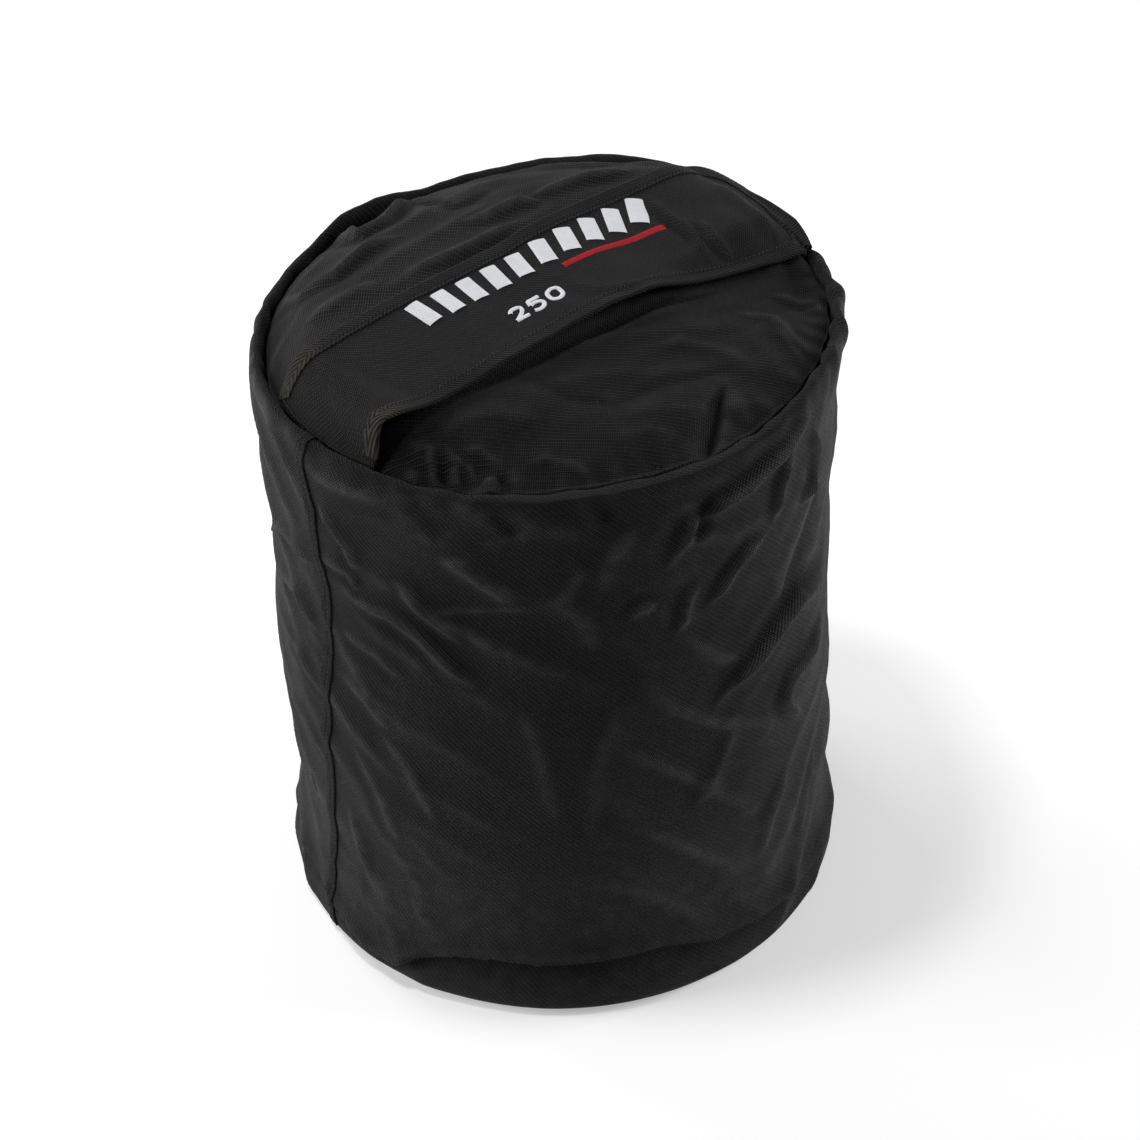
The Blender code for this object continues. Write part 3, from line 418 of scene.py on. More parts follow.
# Where the hidden side mirrors the photographed one, and how much lower and wider its folds are
MIRROR_ANGLE = math.radians(-76)
HIDDEN_STRENGTH = 0.85
HIDDEN_WIDENING = 1.1
AROUND = 2 * math.pi * BAG_RADIUS


def hidden_folds(shown):
    """The photographed folds once more, mirrored, on the side that the photograph doesn't show."""
    lines = []
    for line, height, width in shown:
        for turn in (0, AROUND):
            mirrored = [(MIRROR_ANGLE * BAG_RADIUS - u - turn, z) for u, z in line]
            lines.append((mirrored, height * HIDDEN_STRENGTH, width * HIDDEN_WIDENING))
    return lines


SHOWN_LINES = wall_lines(WALL_FOLDS)
WALL_LINES = SHOWN_LINES + hidden_folds(SHOWN_LINES)
HOLLOW_LINES = wall_lines(WALL_HOLLOWS)


# The world angle of the wall that faces the camera, in degrees
FACING_ANGLE = -128
# Broad swells and dents of the wall: angle in degrees, height, half angle, half height and how far out
WALL_SWELLS = (
    (-50, 0.430, 20, 0.030, -0.0066), (-40, 0.345, 20, 0.036, -0.0052), (-42, 0.245, 20, 0.050, -0.0056),
    (-42, 0.108, 18, 0.022, 0.0050),
    (140, 0.095, 22, 0.022, -0.0045), (140, 0.030, 22, 0.015, -0.0025), (-160, 0.012, 16, 0.016, 0.0030),
)


def base_crease_height(angle):
    places = sorted(on_wall(px, py) for px, py in BASE_CREASE)
    wander = 0.030 + 0.003 * np.sin(3 * angle + 1) + 0.002 * np.sin(7 * angle)
    inside = smooth((angle - places[0][0]) / 0.3) * smooth((places[-1][0] - angle) / 0.3)
    return mix(wander, np.clip(table_value(places, angle), 0.018, 0.050), inside)


def wall_bulge(angle, z):
    """How far the cloth stands out from the wall's plain profile."""
    u = angle * BAG_RADIUS
    period = AROUND
    total = np.zeros_like(u)
    for line, height, width in WALL_LINES:
        total += fold_height(u, z, line, FOLD_STRENGTH * height, width)
    for line, height, width in HOLLOW_LINES:
        total -= fold_height(u, z, line, FOLD_STRENGTH * height, width, valley=0.2)
    total += 0.0012 * ripples(u, z, 11, 14, 0.18, 0.09, 60, 80, period)
    lean_right = smooth(0.5 + 1.2 * np.cos(angle - math.radians(-175)))
    turned = in_degrees(angle)
    lively = 0.40 + 0.60 * (1 - hump(turned, FACING_ANGLE, 24))
    lively = lively * np.clip(0.75 + 0.5 * ripples(u, z, 15, 8, 0.30, 0.16, 0, 180, period), 0.2, 1.4)
    down_right = creases(u, z, 12, 9, 0.12, 0.060, 52, 21, period)
    down_left = creases(u, z, 13, 9, 0.12, 0.060, 130, 21, period)
    total += 0.0027 * lively * mix(down_left, down_right, lean_right)
    fine = creases(u, z, 16, 10, 0.045, 0.022, 60, 50, period)
    total += 0.0003 * lively * fine
    total += 0.00008 * ripples(u, z, 14, 40, 0.018, 0.008, 90, 90, period)
    for middle, height, half_angle, half_height, out in WALL_SWELLS:
        around = np.mod(turned - middle + 180, 360) - 180
        total += out * hump(around, 0, half_angle) * hump(z, height, half_height)
    crease = base_crease_height(angle)
    deep = 0.35 + 0.85 * hump(turned, -137, 32) + 0.12 * np.sin(8.0 * angle + 1.2)
    above = z - crease
    step = smooth((above + 0.0012) / 0.0030)
    total += 0.0062 * deep * step * np.exp(-np.maximum(above, 0) / 0.022)
    total -= 0.0072 * deep * (1 - step) * np.exp(np.minimum(above, 0) / 0.0085)
    low = smooth((z - 0.001) / 0.010)
    deepest = DEEPEST + 0.0035 * (1 - smooth((z - 0.034) / 0.020))
    total = np.where(total < 0, deepest * np.tanh(total / deepest), total)
    return total * low * smooth((GROOVE_HEIGHT + LIP_RISE * 0.8 - z) / 0.03)


# Angle in degrees, and how much of its full rise the rim's lip has there
LIP_SHARES = (
    (-180, 0.80), (-155, 0.40), (-130, 0.10), (-100, 0.15), (-75, 0.50), (-45, 0.85), (-20, 0.70),
    (10, 0.60), (35, 0.70), (60, 0.65), (76, 0.80), (87, 1.60), (96, 1.55), (105, 0.90), (118, 0.55),
    (132, 0.80), (155, 0.90), (180, 0.80),
)


def lip_share(angle):
    """How much of its full rise the rim's lip has."""
    shares = table_value(LIP_SHARES, in_degrees(angle))
    wobble = 0.10 * np.sin(5 * angle + 0.6) + 0.07 * np.sin(11 * angle + 2.0) + 0.05 * np.sin(23 * angle)
    return shares * (1 + wobble)


# Angle in degrees, and how much higher the seam runs there, at the rear
REAR_RISES = (
    (-15, 0.0020), (0, 0.0070), (10, 0.0110), (20, 0.0145), (30, 0.0170), (40, 0.0160), (50, 0.0128),
    (60, 0.0084), (70, 0.0058), (85, 0.0050), (100, 0.0045), (120, 0.0030), (140, 0.0010), (155, 0.0),
)


def seam_shift(angle):
    """How far the seam at the rim wanders out and up."""
    turned = in_degrees(angle)
    front = hump(turned, -148, 13)
    right = 0.4 + hump(turned, -42, 26)
    rear = table_value(REAR_RISES, turned, left=0.0, right=0.0)
    out = 0.0006 * np.sin(7 * angle + 0.4)
    out = out + front * (0.0016 * np.sin(27 * angle) + 0.0008 * np.sin(52 * angle + 1))
    out = out + right * (0.0005 * np.sin(29 * angle + 0.7) + 0.0003 * np.sin(61 * angle))
    up = 0.0007 * np.sin(6 * angle + 2)
    up = up + right * (0.0006 * np.sin(31 * angle + 1) + 0.0004 * np.sin(67 * angle))
    up = up + front * (0.0009 * np.sin(23 * angle + 2) + 0.0006 * np.sin(47 * angle))
    return out, up + rear


def seam_gathers(angle):
    """Small ridges below the rim, where the seam draws the cloth together."""
    turned = in_degrees(angle)
    strength = 0.0005 + 0.0011 * hump(turned, -40, 28) + 0.0006 * hump(turned, 80, 50)
    waves = np.sin(37 * angle + 2 * np.sin(5 * angle))
    waves = waves + 0.6 * np.sin(59 * angle + 1.5 * np.sin(7 * angle + 1))
    return strength * waves


def wall_point(angle, share, out=0.0):
    """Points of the wall, at angles and shares of its profile, at a distance out from the cloth."""
    radius, z, nr, nz = (np.interp(share, ROW_SHARES, values) for values in PROFILE_COLUMNS)
    bulge = wall_bulge(angle, z) + out
    over = np.maximum(z - GROOVE_HEIGHT, 0)
    near_seam = smooth((z - GROOVE_HEIGHT + 0.028) / 0.030)
    seam_out, seam_up = seam_shift(angle)
    z = z - over * (1 - lip_share(angle)) + seam_up * near_seam
    gathers = near_seam * (1 - smooth((z - GROOVE_HEIGHT - LIP_RISE * 0.6) / 0.004)) * seam_gathers(angle)
    radius = radius + (bulge + gathers) * nr + seam_out * near_seam
    x, y = radius * np.cos(angle), radius * np.sin(angle)
    z = z + bulge * nz + lean_at(x, y) * smooth(z / GROOVE_HEIGHT)
    return np.stack([x, y, np.maximum(z, 0.0006)], axis=-1)


# Folds of the top that the photograph shows
TOP_FOLDS = (
    (((280, 308), (302, 296), (333, 277), (365, 250), (384, 241), (410, 230)), 0.0030, 0.0055),
    (((326, 241), (357, 236), (384, 221), (408, 202), (432, 196)), 0.0036, 0.0055),
    (((453, 224), (482, 219), (518, 202), (547, 200)), 0.0028, 0.0060),
    (((400, 276), (437, 262), (482, 241), (523, 219)), 0.0024, 0.0060),
    (((300, 330), (340, 300), (390, 278)), 0.0016, 0.0080),
    (((520, 200), (580, 180), (640, 170)), 0.0024, 0.0060),
    (((728, 307), (773, 312), (795, 340), (817, 365)), 0.0030, 0.0055),
    (((764, 279), (789, 285), (817, 301), (831, 329)), 0.0034, 0.0055),
    (((773, 323), (789, 345), (806, 368)), 0.0026, 0.0050),
    (((738, 398), (743, 412), (752, 428)), 0.0014, 0.0050),
    (((640, 350), (680, 340), (728, 350), (760, 372)), 0.0020, 0.0080),
    (((398, 462), (420, 450), (446, 456), (470, 470), (492, 486)), 0.0030, 0.0050),
    (((455, 455), (480, 452), (510, 470)), 0.0022, 0.0050),
    (((520, 470), (545, 460), (575, 468), (600, 480)), 0.0022, 0.0060),
    (((420, 420), (450, 425), (500, 415), (560, 420)), 0.0012, 0.0110),
    (((600, 440), (650, 430), (690, 440)), 0.0014, 0.0100),
    (((434, 490), (434, 480), (430, 466)), 0.0030, 0.0036),
    (((458, 494), (457, 484), (452, 470)), 0.0028, 0.0036),
    (((494, 498), (493, 488), (487, 474)), 0.0030, 0.0042),
)
TOP_HOLLOWS = (
    (((511, 370), (569, 397), (615, 402), (661, 383), (718, 370), (764, 379)), 0.0030, 0.0110),
    (((392, 470), (410, 474), (432, 478), (455, 486)), 0.0022, 0.0035),
    (((704, 482), (706, 465), (709, 437), (717, 408), (726, 380)), 0.0085, 0.0055),
    (((408, 204), (430, 200), (453, 204), (473, 198), (494, 188)), 0.0050, 0.0070),
    (((392, 440), (402, 418), (470, 386), (560, 345), (650, 305), (740, 278)), 0.0060, 0.0045),
    (((482, 490), (480, 478), (474, 464)), 0.0024, 0.0040),
    (((446, 492), (446, 482), (442, 470)), 0.0034, 0.0032),
    (((508, 498), (506, 488), (498, 474)), 0.0030, 0.0034),
)


def top_lines(table):
    return [([on_top(px, py) for px, py in pixels], height, width) for pixels, height, width in table]


TOP_LINES = top_lines(TOP_FOLDS)
TOP_HOLLOW_LINES = top_lines(TOP_HOLLOWS)


def top_slump(x, y):
    """How far the top has sunk in front of the flap's free end."""
    along = smooth((x - 0.050) / 0.100)
    across = smooth((-y - 0.034) / 0.026) * (1 - smooth((-y - 0.095) / 0.060))
    inside = smooth((GROOVE_RADIUS - np.hypot(x, y)) / 0.022)
    return SLUMP * along * across * inside


def top_height(x, y):
    """The top's cloth with its folds, and its dip beside the zipper."""
    dome = dome_height(x, y)
    dip = np.minimum(ZIPPER_HEIGHT, dome)
    away = smooth((np.abs(y) - OPENING_HALF_WIDTH) / (DIP_HALF_WIDTH - OPENING_HALF_WIDTH))
    height = mix(dip, dome, away)
    total = np.zeros_like(height)
    for line, rise, width in TOP_LINES:
        total += fold_height(x, y, line, rise, width) * (1 + 1.3 * smooth(y / 0.06))
    for line, depth, width in TOP_HOLLOW_LINES:
        total -= fold_height(x, y, line, depth, width, valley=0.0)
    total += 0.0010 * ripples(x, y, 21, 16, 0.12, 0.05, 70, 90)
    rear_creases = creases(x, y, 23, 8, 0.090, 0.045, 92, 20)
    front_creases = creases(x, y, 24, 7, 0.130, 0.070, 75, 26)
    total += 0.0018 * smooth(y / 0.05) * rear_creases
    total += 0.0009 * smooth(-y / 0.05) * front_creases
    total += 0.0003 * ripples(x, y, 22, 16, 0.040, 0.018, 70, 40)
    covered = smooth((np.abs(y) - 0.040) / 0.016)
    edge = smooth((GROOVE_RADIUS - np.hypot(x, y)) / 0.010)
    pressed = np.where(total > 0, covered, 0.3 + 0.7 * covered)
    pressed = np.where(covered < 1, pressed, 1)
    return height - top_slump(x, y) + total * (0.35 + 0.65 * edge) * pressed


# Meshes

def ridge_highlight_and_wear(height, reach, depth, closed=False):
    """How much painted highlight, with some wear, each point of a grid gets: most on its ridges, none in its
    hollows.
    """
    around = height.copy()
    for axis in (0, 1):
        total = np.zeros_like(around)
        for step in range(-reach, reach + 1):
            if axis == 1 and closed:
                total += np.roll(around, step, axis=1)
            else:
                places = np.clip(np.arange(around.shape[axis]) + step, 0, around.shape[axis] - 1)
                total += np.take(around, places, axis=axis)
        around = total / (2 * reach + 1)
    # Painted highlight with some wear: points standing above their surroundings are marked paler.
    wear = np.clip((height - around) / depth, 0, 1)
    wear[1:-1] = (wear[:-2] + 4 * wear[1:-1] + wear[2:]) / 6
    wear[:, 1:-1] = (wear[:, :-2] + 4 * wear[:, 1:-1] + wear[:, 2:]) / 6
    return wear


def set_highlight_and_wear(thing, wear):
    # The 'wear' attribute carries painted highlight on ridges, with some real wear.
    layer = thing.data.attributes.new("wear", "FLOAT", "POINT")
    layer.data.foreach_set("value", np.asarray(wear, np.float32).ravel())


def make_mesh(name, points, faces, uvs, finish):
    """Makes an object from an array of points, faces as index tuples and a UV in metres for each point."""
    mesh = bpy.data.meshes.new(name)
    mesh.from_pydata([tuple(p) for p in points], [], faces)
    if uvs is not None:
        layer = mesh.uv_layers.new(name="UVMap")
        corners = np.empty(len(mesh.loops), int)
        mesh.loops.foreach_get("vertex_index", corners)
        layer.data.foreach_set("uv", np.asarray(uvs, np.float32)[corners].ravel())
    mesh.shade_smooth()
    mesh.materials.append(finish)
    return add_object(name, mesh)


def join(thing, body, node):
    """Fixes a piece to a body, in place of a CAD node, which it hides."""
    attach(thing, body)
    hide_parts(node)


def ring_of(count):
    """Angles once around, with the first again at the end, and their points on a circle of radius 1."""
    turns = np.linspace(0, 2 * math.pi, count + 1)
    return turns, np.stack([np.cos(turns), np.sin(turns)], axis=-1)


def level_ring(ring, radius, z):
    return np.column_stack([ring * radius, np.full(len(ring), z)])


def grid_faces(rows, columns, offset=0, closed=False):
    faces = []
    last = columns if closed else columns - 1
    for i in range(rows - 1):
        for j in range(last):
            k = (j + 1) % columns
            faces.append((offset + i * columns + j, offset + i * columns + k,
                          offset + (i + 1) * columns + k, offset + (i + 1) * columns + j))
    return faces


def grid_piece(name, points, uv, finish, flip=False):
    """A sheet from a grid of points, rows by columns by 3."""
    rows, columns = points.shape[:2]
    faces = grid_faces(rows, columns)
    if flip:
        faces = [face[::-1] for face in faces]
    return make_mesh(name, points.reshape(-1, 3), faces, uv.reshape(-1, 2), finish)


def thick(thing, depth, offset=-1.0):
    """Gives a sheet its thickness."""
    shell = thing.modifiers.new("cloth", "SOLIDIFY")
    shell.thickness = depth
    shell.offset = offset
    shell.use_even_offset = False
    bpy.context.view_layer.update()
    graph = bpy.context.evaluated_depsgraph_get()
    mesh = bpy.data.meshes.new_from_object(thing.evaluated_get(graph))
    thing.modifiers.clear()
    thing.data = mesh


# Materials

class Nodes:
    """Short names for making shader nodes."""

    def __init__(self, name, world=False):
        self.made = (bpy.data.worlds if world else bpy.data.materials).new(name)
        self.made.use_nodes = True
        self.tree = self.made.node_tree
        self.shader = self.tree.nodes["Background" if world else "Principled BSDF"]

    def add(self, kind, **values):
        node = self.tree.nodes.new(kind)
        for key, value in values.items():
            setattr(node, key, value)
        return node

    def feed(self, socket, value):
        """Gives a socket another node's result, or a plain value."""
        if hasattr(value, "is_output"):
            self.tree.links.new(value, socket)
        else:
            socket.default_value = value

    def made_with(self, kind, inputs, **values):
        """A new node whose named inputs are fed."""
        node = self.add(kind, **values)
        for name, value in inputs.items():
            self.feed(node.inputs[name], value)
        return node

    def math(self, operation, first, second=None, clamp=False):
        node = self.add("ShaderNodeMath", operation=operation, use_clamp=clamp)
        self.feed(node.inputs[0], first)
        if second is not None:
            self.feed(node.inputs[1], second)
        return node.outputs[0]

    def uv(self):
        node = self.add("ShaderNodeUVMap", uv_map="UVMap")
        return self.made_with("ShaderNodeSeparateXYZ", {"Vector": node.outputs[0]}).outputs[:2]

    def noise(self, scale, detail=3.0, stretch=None, rough=0.5):
        place = self.add("ShaderNodeTexCoord").outputs["Object"]
        if stretch:
            place = self.made_with("ShaderNodeMapping", {"Scale": stretch, "Vector": place}).outputs[0]
        inputs = {"Scale": scale, "Detail": detail, "Roughness": rough, "Vector": place}
        return self.made_with("ShaderNodeTexNoise", inputs).outputs[0]

    def ramp(self, value, low, high, first, second):
        inputs = {"From Min": low, "From Max": high, "To Min": first, "To Max": second, "Value": value}
        return self.made_with("ShaderNodeMapRange", inputs).outputs[0]

    def colors(self, share, first, second):
        """A mix of two colours, each of which is another node's result or three numbers."""
        first, second = (c if hasattr(c, "is_output") else (*c, 1) for c in (first, second))
        inputs = {"Factor": share, "A": first, "B": second}
        return self.made_with("ShaderNodeMix", inputs, data_type="RGBA").outputs["Result"]

    def bump(self, height, distance, strength=1.0, below=None):
        inputs = {"Distance": distance, "Strength": strength, "Height": height}
        if below is not None:
            inputs["Normal"] = below
        return self.made_with("ShaderNodeBump", inputs).outputs[0]

    def set(self, name, value):
        self.feed(self.shader.inputs[name], value)


CLOTH_DARK = (0.0055, 0.0052, 0.0053)
CLOTH_LIGHT = (0.0225, 0.0213, 0.0216)
LINT_COLOR = (0.16, 0.155, 0.15)
RIDGE_HIGHLIGHT_SHADE = 9.5             # how much paler the painted highlight on ridges, with some wear, is than the cloth's darkest threads


def shaded(color, share):
    return tuple(share * part for part in color)


def woven(name, dark, light, pitch, sheen=0.07, rough=0.56, specks=0.3, weave=0.00042, depth=1.05):
    """Plain woven cloth: threads over and under, uneven dye, a few specks of lint, a soft sheen, and a
    painted highlight with some wear on the ridges that the wear attribute marks.
    """
    n = Nodes(name)
    u, v = n.uv()
    turn = 2 * math.pi / pitch
    warp = n.math("SINE", n.math("MULTIPLY", u, turn))
    weft = n.math("SINE", n.math("MULTIPLY", v, turn))
    threads = n.math("MULTIPLY", warp, weft)
    twill = n.math("SINE", n.math("MULTIPLY", n.math("ADD", u, v), turn / 2))
    height = n.math("ADD", threads, n.math("MULTIPLY", twill, 0.35))
    clouds = n.noise(9.0, 4.0)
    streaks = n.noise(60.0, 2.0, (1.0, 1.0, 0.12))
    patches = n.noise(38.0, 5.0, None, 0.65)
    share = n.math("ADD", n.ramp(clouds, 0.35, 0.7, 0.05, 0.40), n.ramp(streaks, 0.3, 0.7, 0.0, 0.15))
    share = n.math("ADD", share, n.ramp(patches, 0.35, 0.7, 0.0, 0.35))
    share = n.math("ADD", share, n.math("MULTIPLY", height, depth), clamp=True)
    # Painted highlight: the cloth is paler on the ridges that the wear attribute marks, standing in for light
    # on them, with some real wear.
    ridge_light_and_wear = n.math("MULTIPLY", n.add("ShaderNodeAttribute", attribute_name="wear").outputs["Fac"],
                  n.ramp(n.noise(70.0, 3.0), 0.35, 0.65, 0.45, 1.0), clamp=True)
    color = n.colors(n.math("MULTIPLY", ridge_light_and_wear, 0.85), n.colors(share, dark, light), shaded(dark, RIDGE_HIGHLIGHT_SHADE))
    lint = n.ramp(n.noise(900.0, 1.0), 0.735, 0.76, 0.0, specks)
    lint = n.math("MAXIMUM", lint, 0.0, clamp=True)
    n.set("Base Color", n.colors(lint, color, LINT_COLOR))
    n.set("Roughness", n.ramp(clouds, 0.3, 0.7, rough - 0.07, rough + 0.07))
    n.set("Specular IOR Level", 0.05)
    n.set("Sheen Weight", sheen)
    n.set("Sheen Roughness", 0.30)
    n.set("Sheen Tint", (0.85, 0.82, 0.82, 1))
    slubs = n.bump(n.noise(420.0, 3.0), 0.00025, 0.5)
    n.set("Normal", n.bump(height, weave, 0.9, slubs))
    return n.made


def herringbone(name, dark, light, root_light):
    """Herringbone tape: slanted ribs that turn back at its middle, and paler ones near the flap's root."""
    n = Nodes(name)
    u, v = n.uv()
    folded = n.math("ABSOLUTE", n.math("SUBTRACT", v, TAPE_WIDTH / 2))
    slant = n.math("ADD", u, n.math("MULTIPLY", folded, 0.9))
    ribs = n.math("SINE", n.math("MULTIPLY", slant, 2 * math.pi / HERRINGBONE_PITCH))
    share = n.ramp(ribs, -1.0, 1.0, 0.0, 1.0)
    share = n.math("MULTIPLY", share, n.ramp(n.noise(160.0, 3.0), 0.3, 0.7, 0.55, 1.0), clamp=True)
    split = n.made_with("ShaderNodeSeparateXYZ", {"Vector": n.add("ShaderNodeTexCoord").outputs["Object"]})
    near_root = n.ramp(split.outputs[0], -FOLD_REACH + 0.012, -FOLD_REACH - 0.004, 0.0, 1.0)
    n.set("Base Color", n.colors(near_root, n.colors(share, dark, light), n.colors(share, dark, root_light)))
    n.set("Roughness", n.ramp(ribs, -1.0, 1.0, 0.85, 0.6))
    n.set("Specular IOR Level", 0.12)
    n.set("Sheen Weight", 0.08)
    n.set("Sheen Roughness", 0.4)
    n.set("Normal", n.bump(ribs, 0.00020, 0.8, n.bump(n.noise(1500.0, 2.0), 0.0001, 0.5)))
    return n.made


def thread(name, color, shade, sheen=0.10):
    """Embroidery or sewing thread: fine strands with a silky gloss."""
    n = Nodes(name)
    u, v = n.uv()
    strands = n.math("SINE", n.math("MULTIPLY", u, 2 * math.pi / 0.00045))
    share = n.ramp(strands, -1.0, 1.0, 0.0, 1.0)
    share = n.math("MULTIPLY", share, n.ramp(n.noise(240.0, 3.0), 0.3, 0.7, 0.6, 1.0), clamp=True)
    n.set("Base Color", n.colors(share, shade, color))
    n.set("Roughness", n.ramp(strands, -1.0, 1.0, 0.55, 0.38))
    n.set("Specular IOR Level", 0.25)
    n.set("Sheen Weight", sheen)
    n.set("Normal", n.bump(strands, 0.00012, 0.8))
    return n.made


def fuzzy(name, dark, light, scale):
    """The loops or hooks of a closure tape."""
    n = Nodes(name)
    tufts = n.noise(scale, 5.0, None, 0.7)
    n.set("Base Color", n.colors(n.ramp(tufts, 0.35, 0.65, 0.0, 1.0), dark, light))
    n.set("Roughness", n.ramp(tufts, 0.3, 0.7, 0.95, 0.75))
    n.set("Sheen Weight", 0.5)
    n.set("Normal", n.bump(tufts, 0.0006, 1.0))
    return n.made


def metal(name, dark, light, rough):
    """Cast zinc alloy with a dull finish, worn brighter in places."""
    n = Nodes(name)
    wear = n.noise(180.0, 5.0)
    n.set("Base Color", n.colors(n.ramp(wear, 0.35, 0.65, 0.0, 1.0), dark, light))
    n.set("Metallic", 1.0)
    n.set("Roughness", n.ramp(wear, 0.3, 0.7, rough + 0.12, rough - 0.08))
    n.set("Normal", n.bump(n.noise(1200.0, 3.0), 0.00005, 0.6))
    return n.made


def moulded(name, dark, light):
    """Moulded plastic teeth with a fine grain."""
    n = Nodes(name)
    grain = n.noise(700.0, 3.0)
    n.set("Base Color", n.colors(n.ramp(grain, 0.35, 0.65, 0.0, 1.0), dark, light))
    n.set("Roughness", n.ramp(grain, 0.3, 0.7, 0.35, 0.5))
    n.set("Normal", n.bump(grain, 0.00006, 0.6))
    return n.made


def grains(name, dark, light):
    """Dry sand."""
    n = Nodes(name)
    specks = n.noise(1400.0, 4.0, None, 0.8)
    n.set("Base Color", n.colors(n.ramp(specks, 0.3, 0.7, 0.0, 1.0), dark, light))
    n.set("Roughness", n.ramp(specks, 0.3, 0.7, 0.8, 0.98))
    n.set("Normal", n.bump(specks, 0.0006, 1.0))
    return n.made


FINISHES = {}


def make_finishes():
    FINISHES.update(
        cloth=woven("black_nylon", CLOTH_DARK, CLOTH_LIGHT, 0.0024),
        # Painted shade and light: the top's front panel gets a darker copy of the cloth, and its rear panel a
        # copy with paler light threads and more weave contrast, as if lit from behind.
        front=woven("front_nylon_painted_shade", shaded(CLOTH_DARK, 0.62), shaded(CLOTH_LIGHT, 0.58), 0.0022),
        rear=woven("rear_nylon_painted_light", shaded(CLOTH_DARK, 0.80), shaded(CLOTH_LIGHT, 1.15), 0.0026, depth=1.4),
        strip=woven("black_strip", CLOTH_DARK, CLOTH_LIGHT, 0.0015, 0.07, 0.64),
        flap=woven("flap_nylon", (0.0088, 0.0085, 0.0086), (0.0205, 0.0196, 0.0198), 0.0017, specks=0.2),
        tape=herringbone("edge_tape", (0.0018, 0.0017, 0.0017), (0.0120, 0.0113, 0.0106),
                         (0.0360, 0.0320, 0.0215)),
        binding=woven("inner_tape", (0.010, 0.010, 0.010), (0.020, 0.019, 0.019), 0.0012),
        thread=thread("black_thread", (0.036, 0.034, 0.034), (0.010, 0.010, 0.010)),
        white=thread("white_thread", (0.94, 0.95, 0.96), (0.72, 0.73, 0.77)),
        red=thread("red_thread", (0.52, 0.006, 0.014), (0.26, 0.002, 0.006), 0.0),
        loops=fuzzy("loop_pile", (0.010, 0.010, 0.010), (0.040, 0.038, 0.038), 900.0),
        hooks=fuzzy("hook_pile", (0.012, 0.012, 0.012), (0.030, 0.029, 0.029), 1600.0),
        metal=metal("zipper_alloy", (0.20, 0.20, 0.21), (0.52, 0.52, 0.53), 0.34),
        teeth=moulded("tooth_plastic", (0.012, 0.012, 0.012), (0.030, 0.030, 0.031)),
        liner=woven("liner_fabric", (0.10, 0.10, 0.105), (0.20, 0.20, 0.21), 0.0016, 0.1, 0.5, 0.0),
        sand=grains("sand_grains", (0.24, 0.17, 0.10), (0.62, 0.50, 0.35)),
    )


def dress_nodes():
    """Better finishes for the zipper's rigid CAD pieces."""
    wanted = {
        "metal": ("zipper_slider", "zipper_pull_tab", "zipper_bottom_stop", "zipper_top_stop_front",
                  "zipper_top_stop_rear"),
        "teeth": ("zipper_teeth_front", "zipper_teeth_rear"),
    }
    for finish, names in wanted.items():
        for name in names:
            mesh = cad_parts[name].data
            for i in range(len(mesh.materials)):
                mesh.materials[i] = FINISHES[finish]


# Wall and base

def make_wall():
    angles = FIRST_ANGLE + 2 * math.pi * np.arange(WALL_COLUMNS) / WALL_COLUMNS
    a, s = np.meshgrid(angles, ROW_SHARES)
    points = wall_point(a, s)
    length = distances(PROFILE)
    columns = WALL_COLUMNS + 1
    a2 = np.column_stack([a, a[:, 0] + 2 * math.pi])
    points = np.concatenate([points, points[:, :1]], axis=1)
    uv = np.stack([a2 * BAG_RADIUS, np.repeat(length[:, None], columns, axis=1)], axis=-1)
    wall = closed_ring_piece("wall", points, uv, FINISHES["cloth"])
    heights = np.repeat(PROFILE[:, 1][:, None], WALL_COLUMNS, axis=1)
    # Painted highlight on the wall's ridges, with some wear, weaker below the base crease; and the cloth
    # paler towards the bottom.
    above_crease = smooth((heights - base_crease_height(a) - 0.004) / 0.03)
    ridge_light_and_wear = ridge_highlight_and_wear(wall_bulge(a, heights), 3, 0.0007, True) * (0.25 + 0.75 * above_crease)
    paler_low = 0.55 * (1 - smooth((heights - 0.07) / 0.12)) * (0.5 + 0.5 * above_crease)
    set_highlight_and_wear(wall, np.clip(ridge_light_and_wear + paler_low, 0, 1))
    join(wall, "shell", "side_panel")


def closed_ring_piece(name, points, uv, finish):
    """A ring of cloth whose last column meets its first, with a UV that runs on."""
    rows, columns = points.shape[:2]
    count = columns - 1
    faces = grid_faces(rows, count, 0, True)
    mesh = bpy.data.meshes.new(name)
    mesh.from_pydata([tuple(p) for p in points[:, :-1].reshape(-1, 3)], [], faces)
    layer = mesh.uv_layers.new(name="UVMap")
    values = np.empty((len(faces), 4, 2), np.float32)
    i = np.repeat(np.arange(rows - 1), count)
    j = np.tile(np.arange(count), rows - 1)
    for corner, (di, dj) in enumerate(((0, 0), (0, 1), (1, 1), (1, 0))):
        values[:, corner] = uv[i + di, j + dj]
    layer.data.foreach_set("uv", values.ravel())
    mesh.shade_smooth()
    mesh.materials.append(finish)
    return add_object(name, mesh)


def lathe_piece(name, rows, turns, around, up, finish):
    """A closed piece from rings of points, with a UV that runs so far around and up."""
    points = np.stack(rows)
    uv = np.stack(np.meshgrid(turns * around, np.linspace(0, up, len(points))), axis=-1)
    return closed_ring_piece(name, points, uv, finish)


def strip_angle(z):
    """Angle of the side seam's edge at a height."""
    places = sorted((height, angle) for angle, height in (on_wall(px, py) for px, py in SIDE_SEAM))
    heights, angles = np.array(places).T
    smoothed = np.convolve(np.pad(angles, 1, mode="edge"), (0.25, 0.5, 0.25), mode="valid")
    return np.interp(z, heights, smoothed)


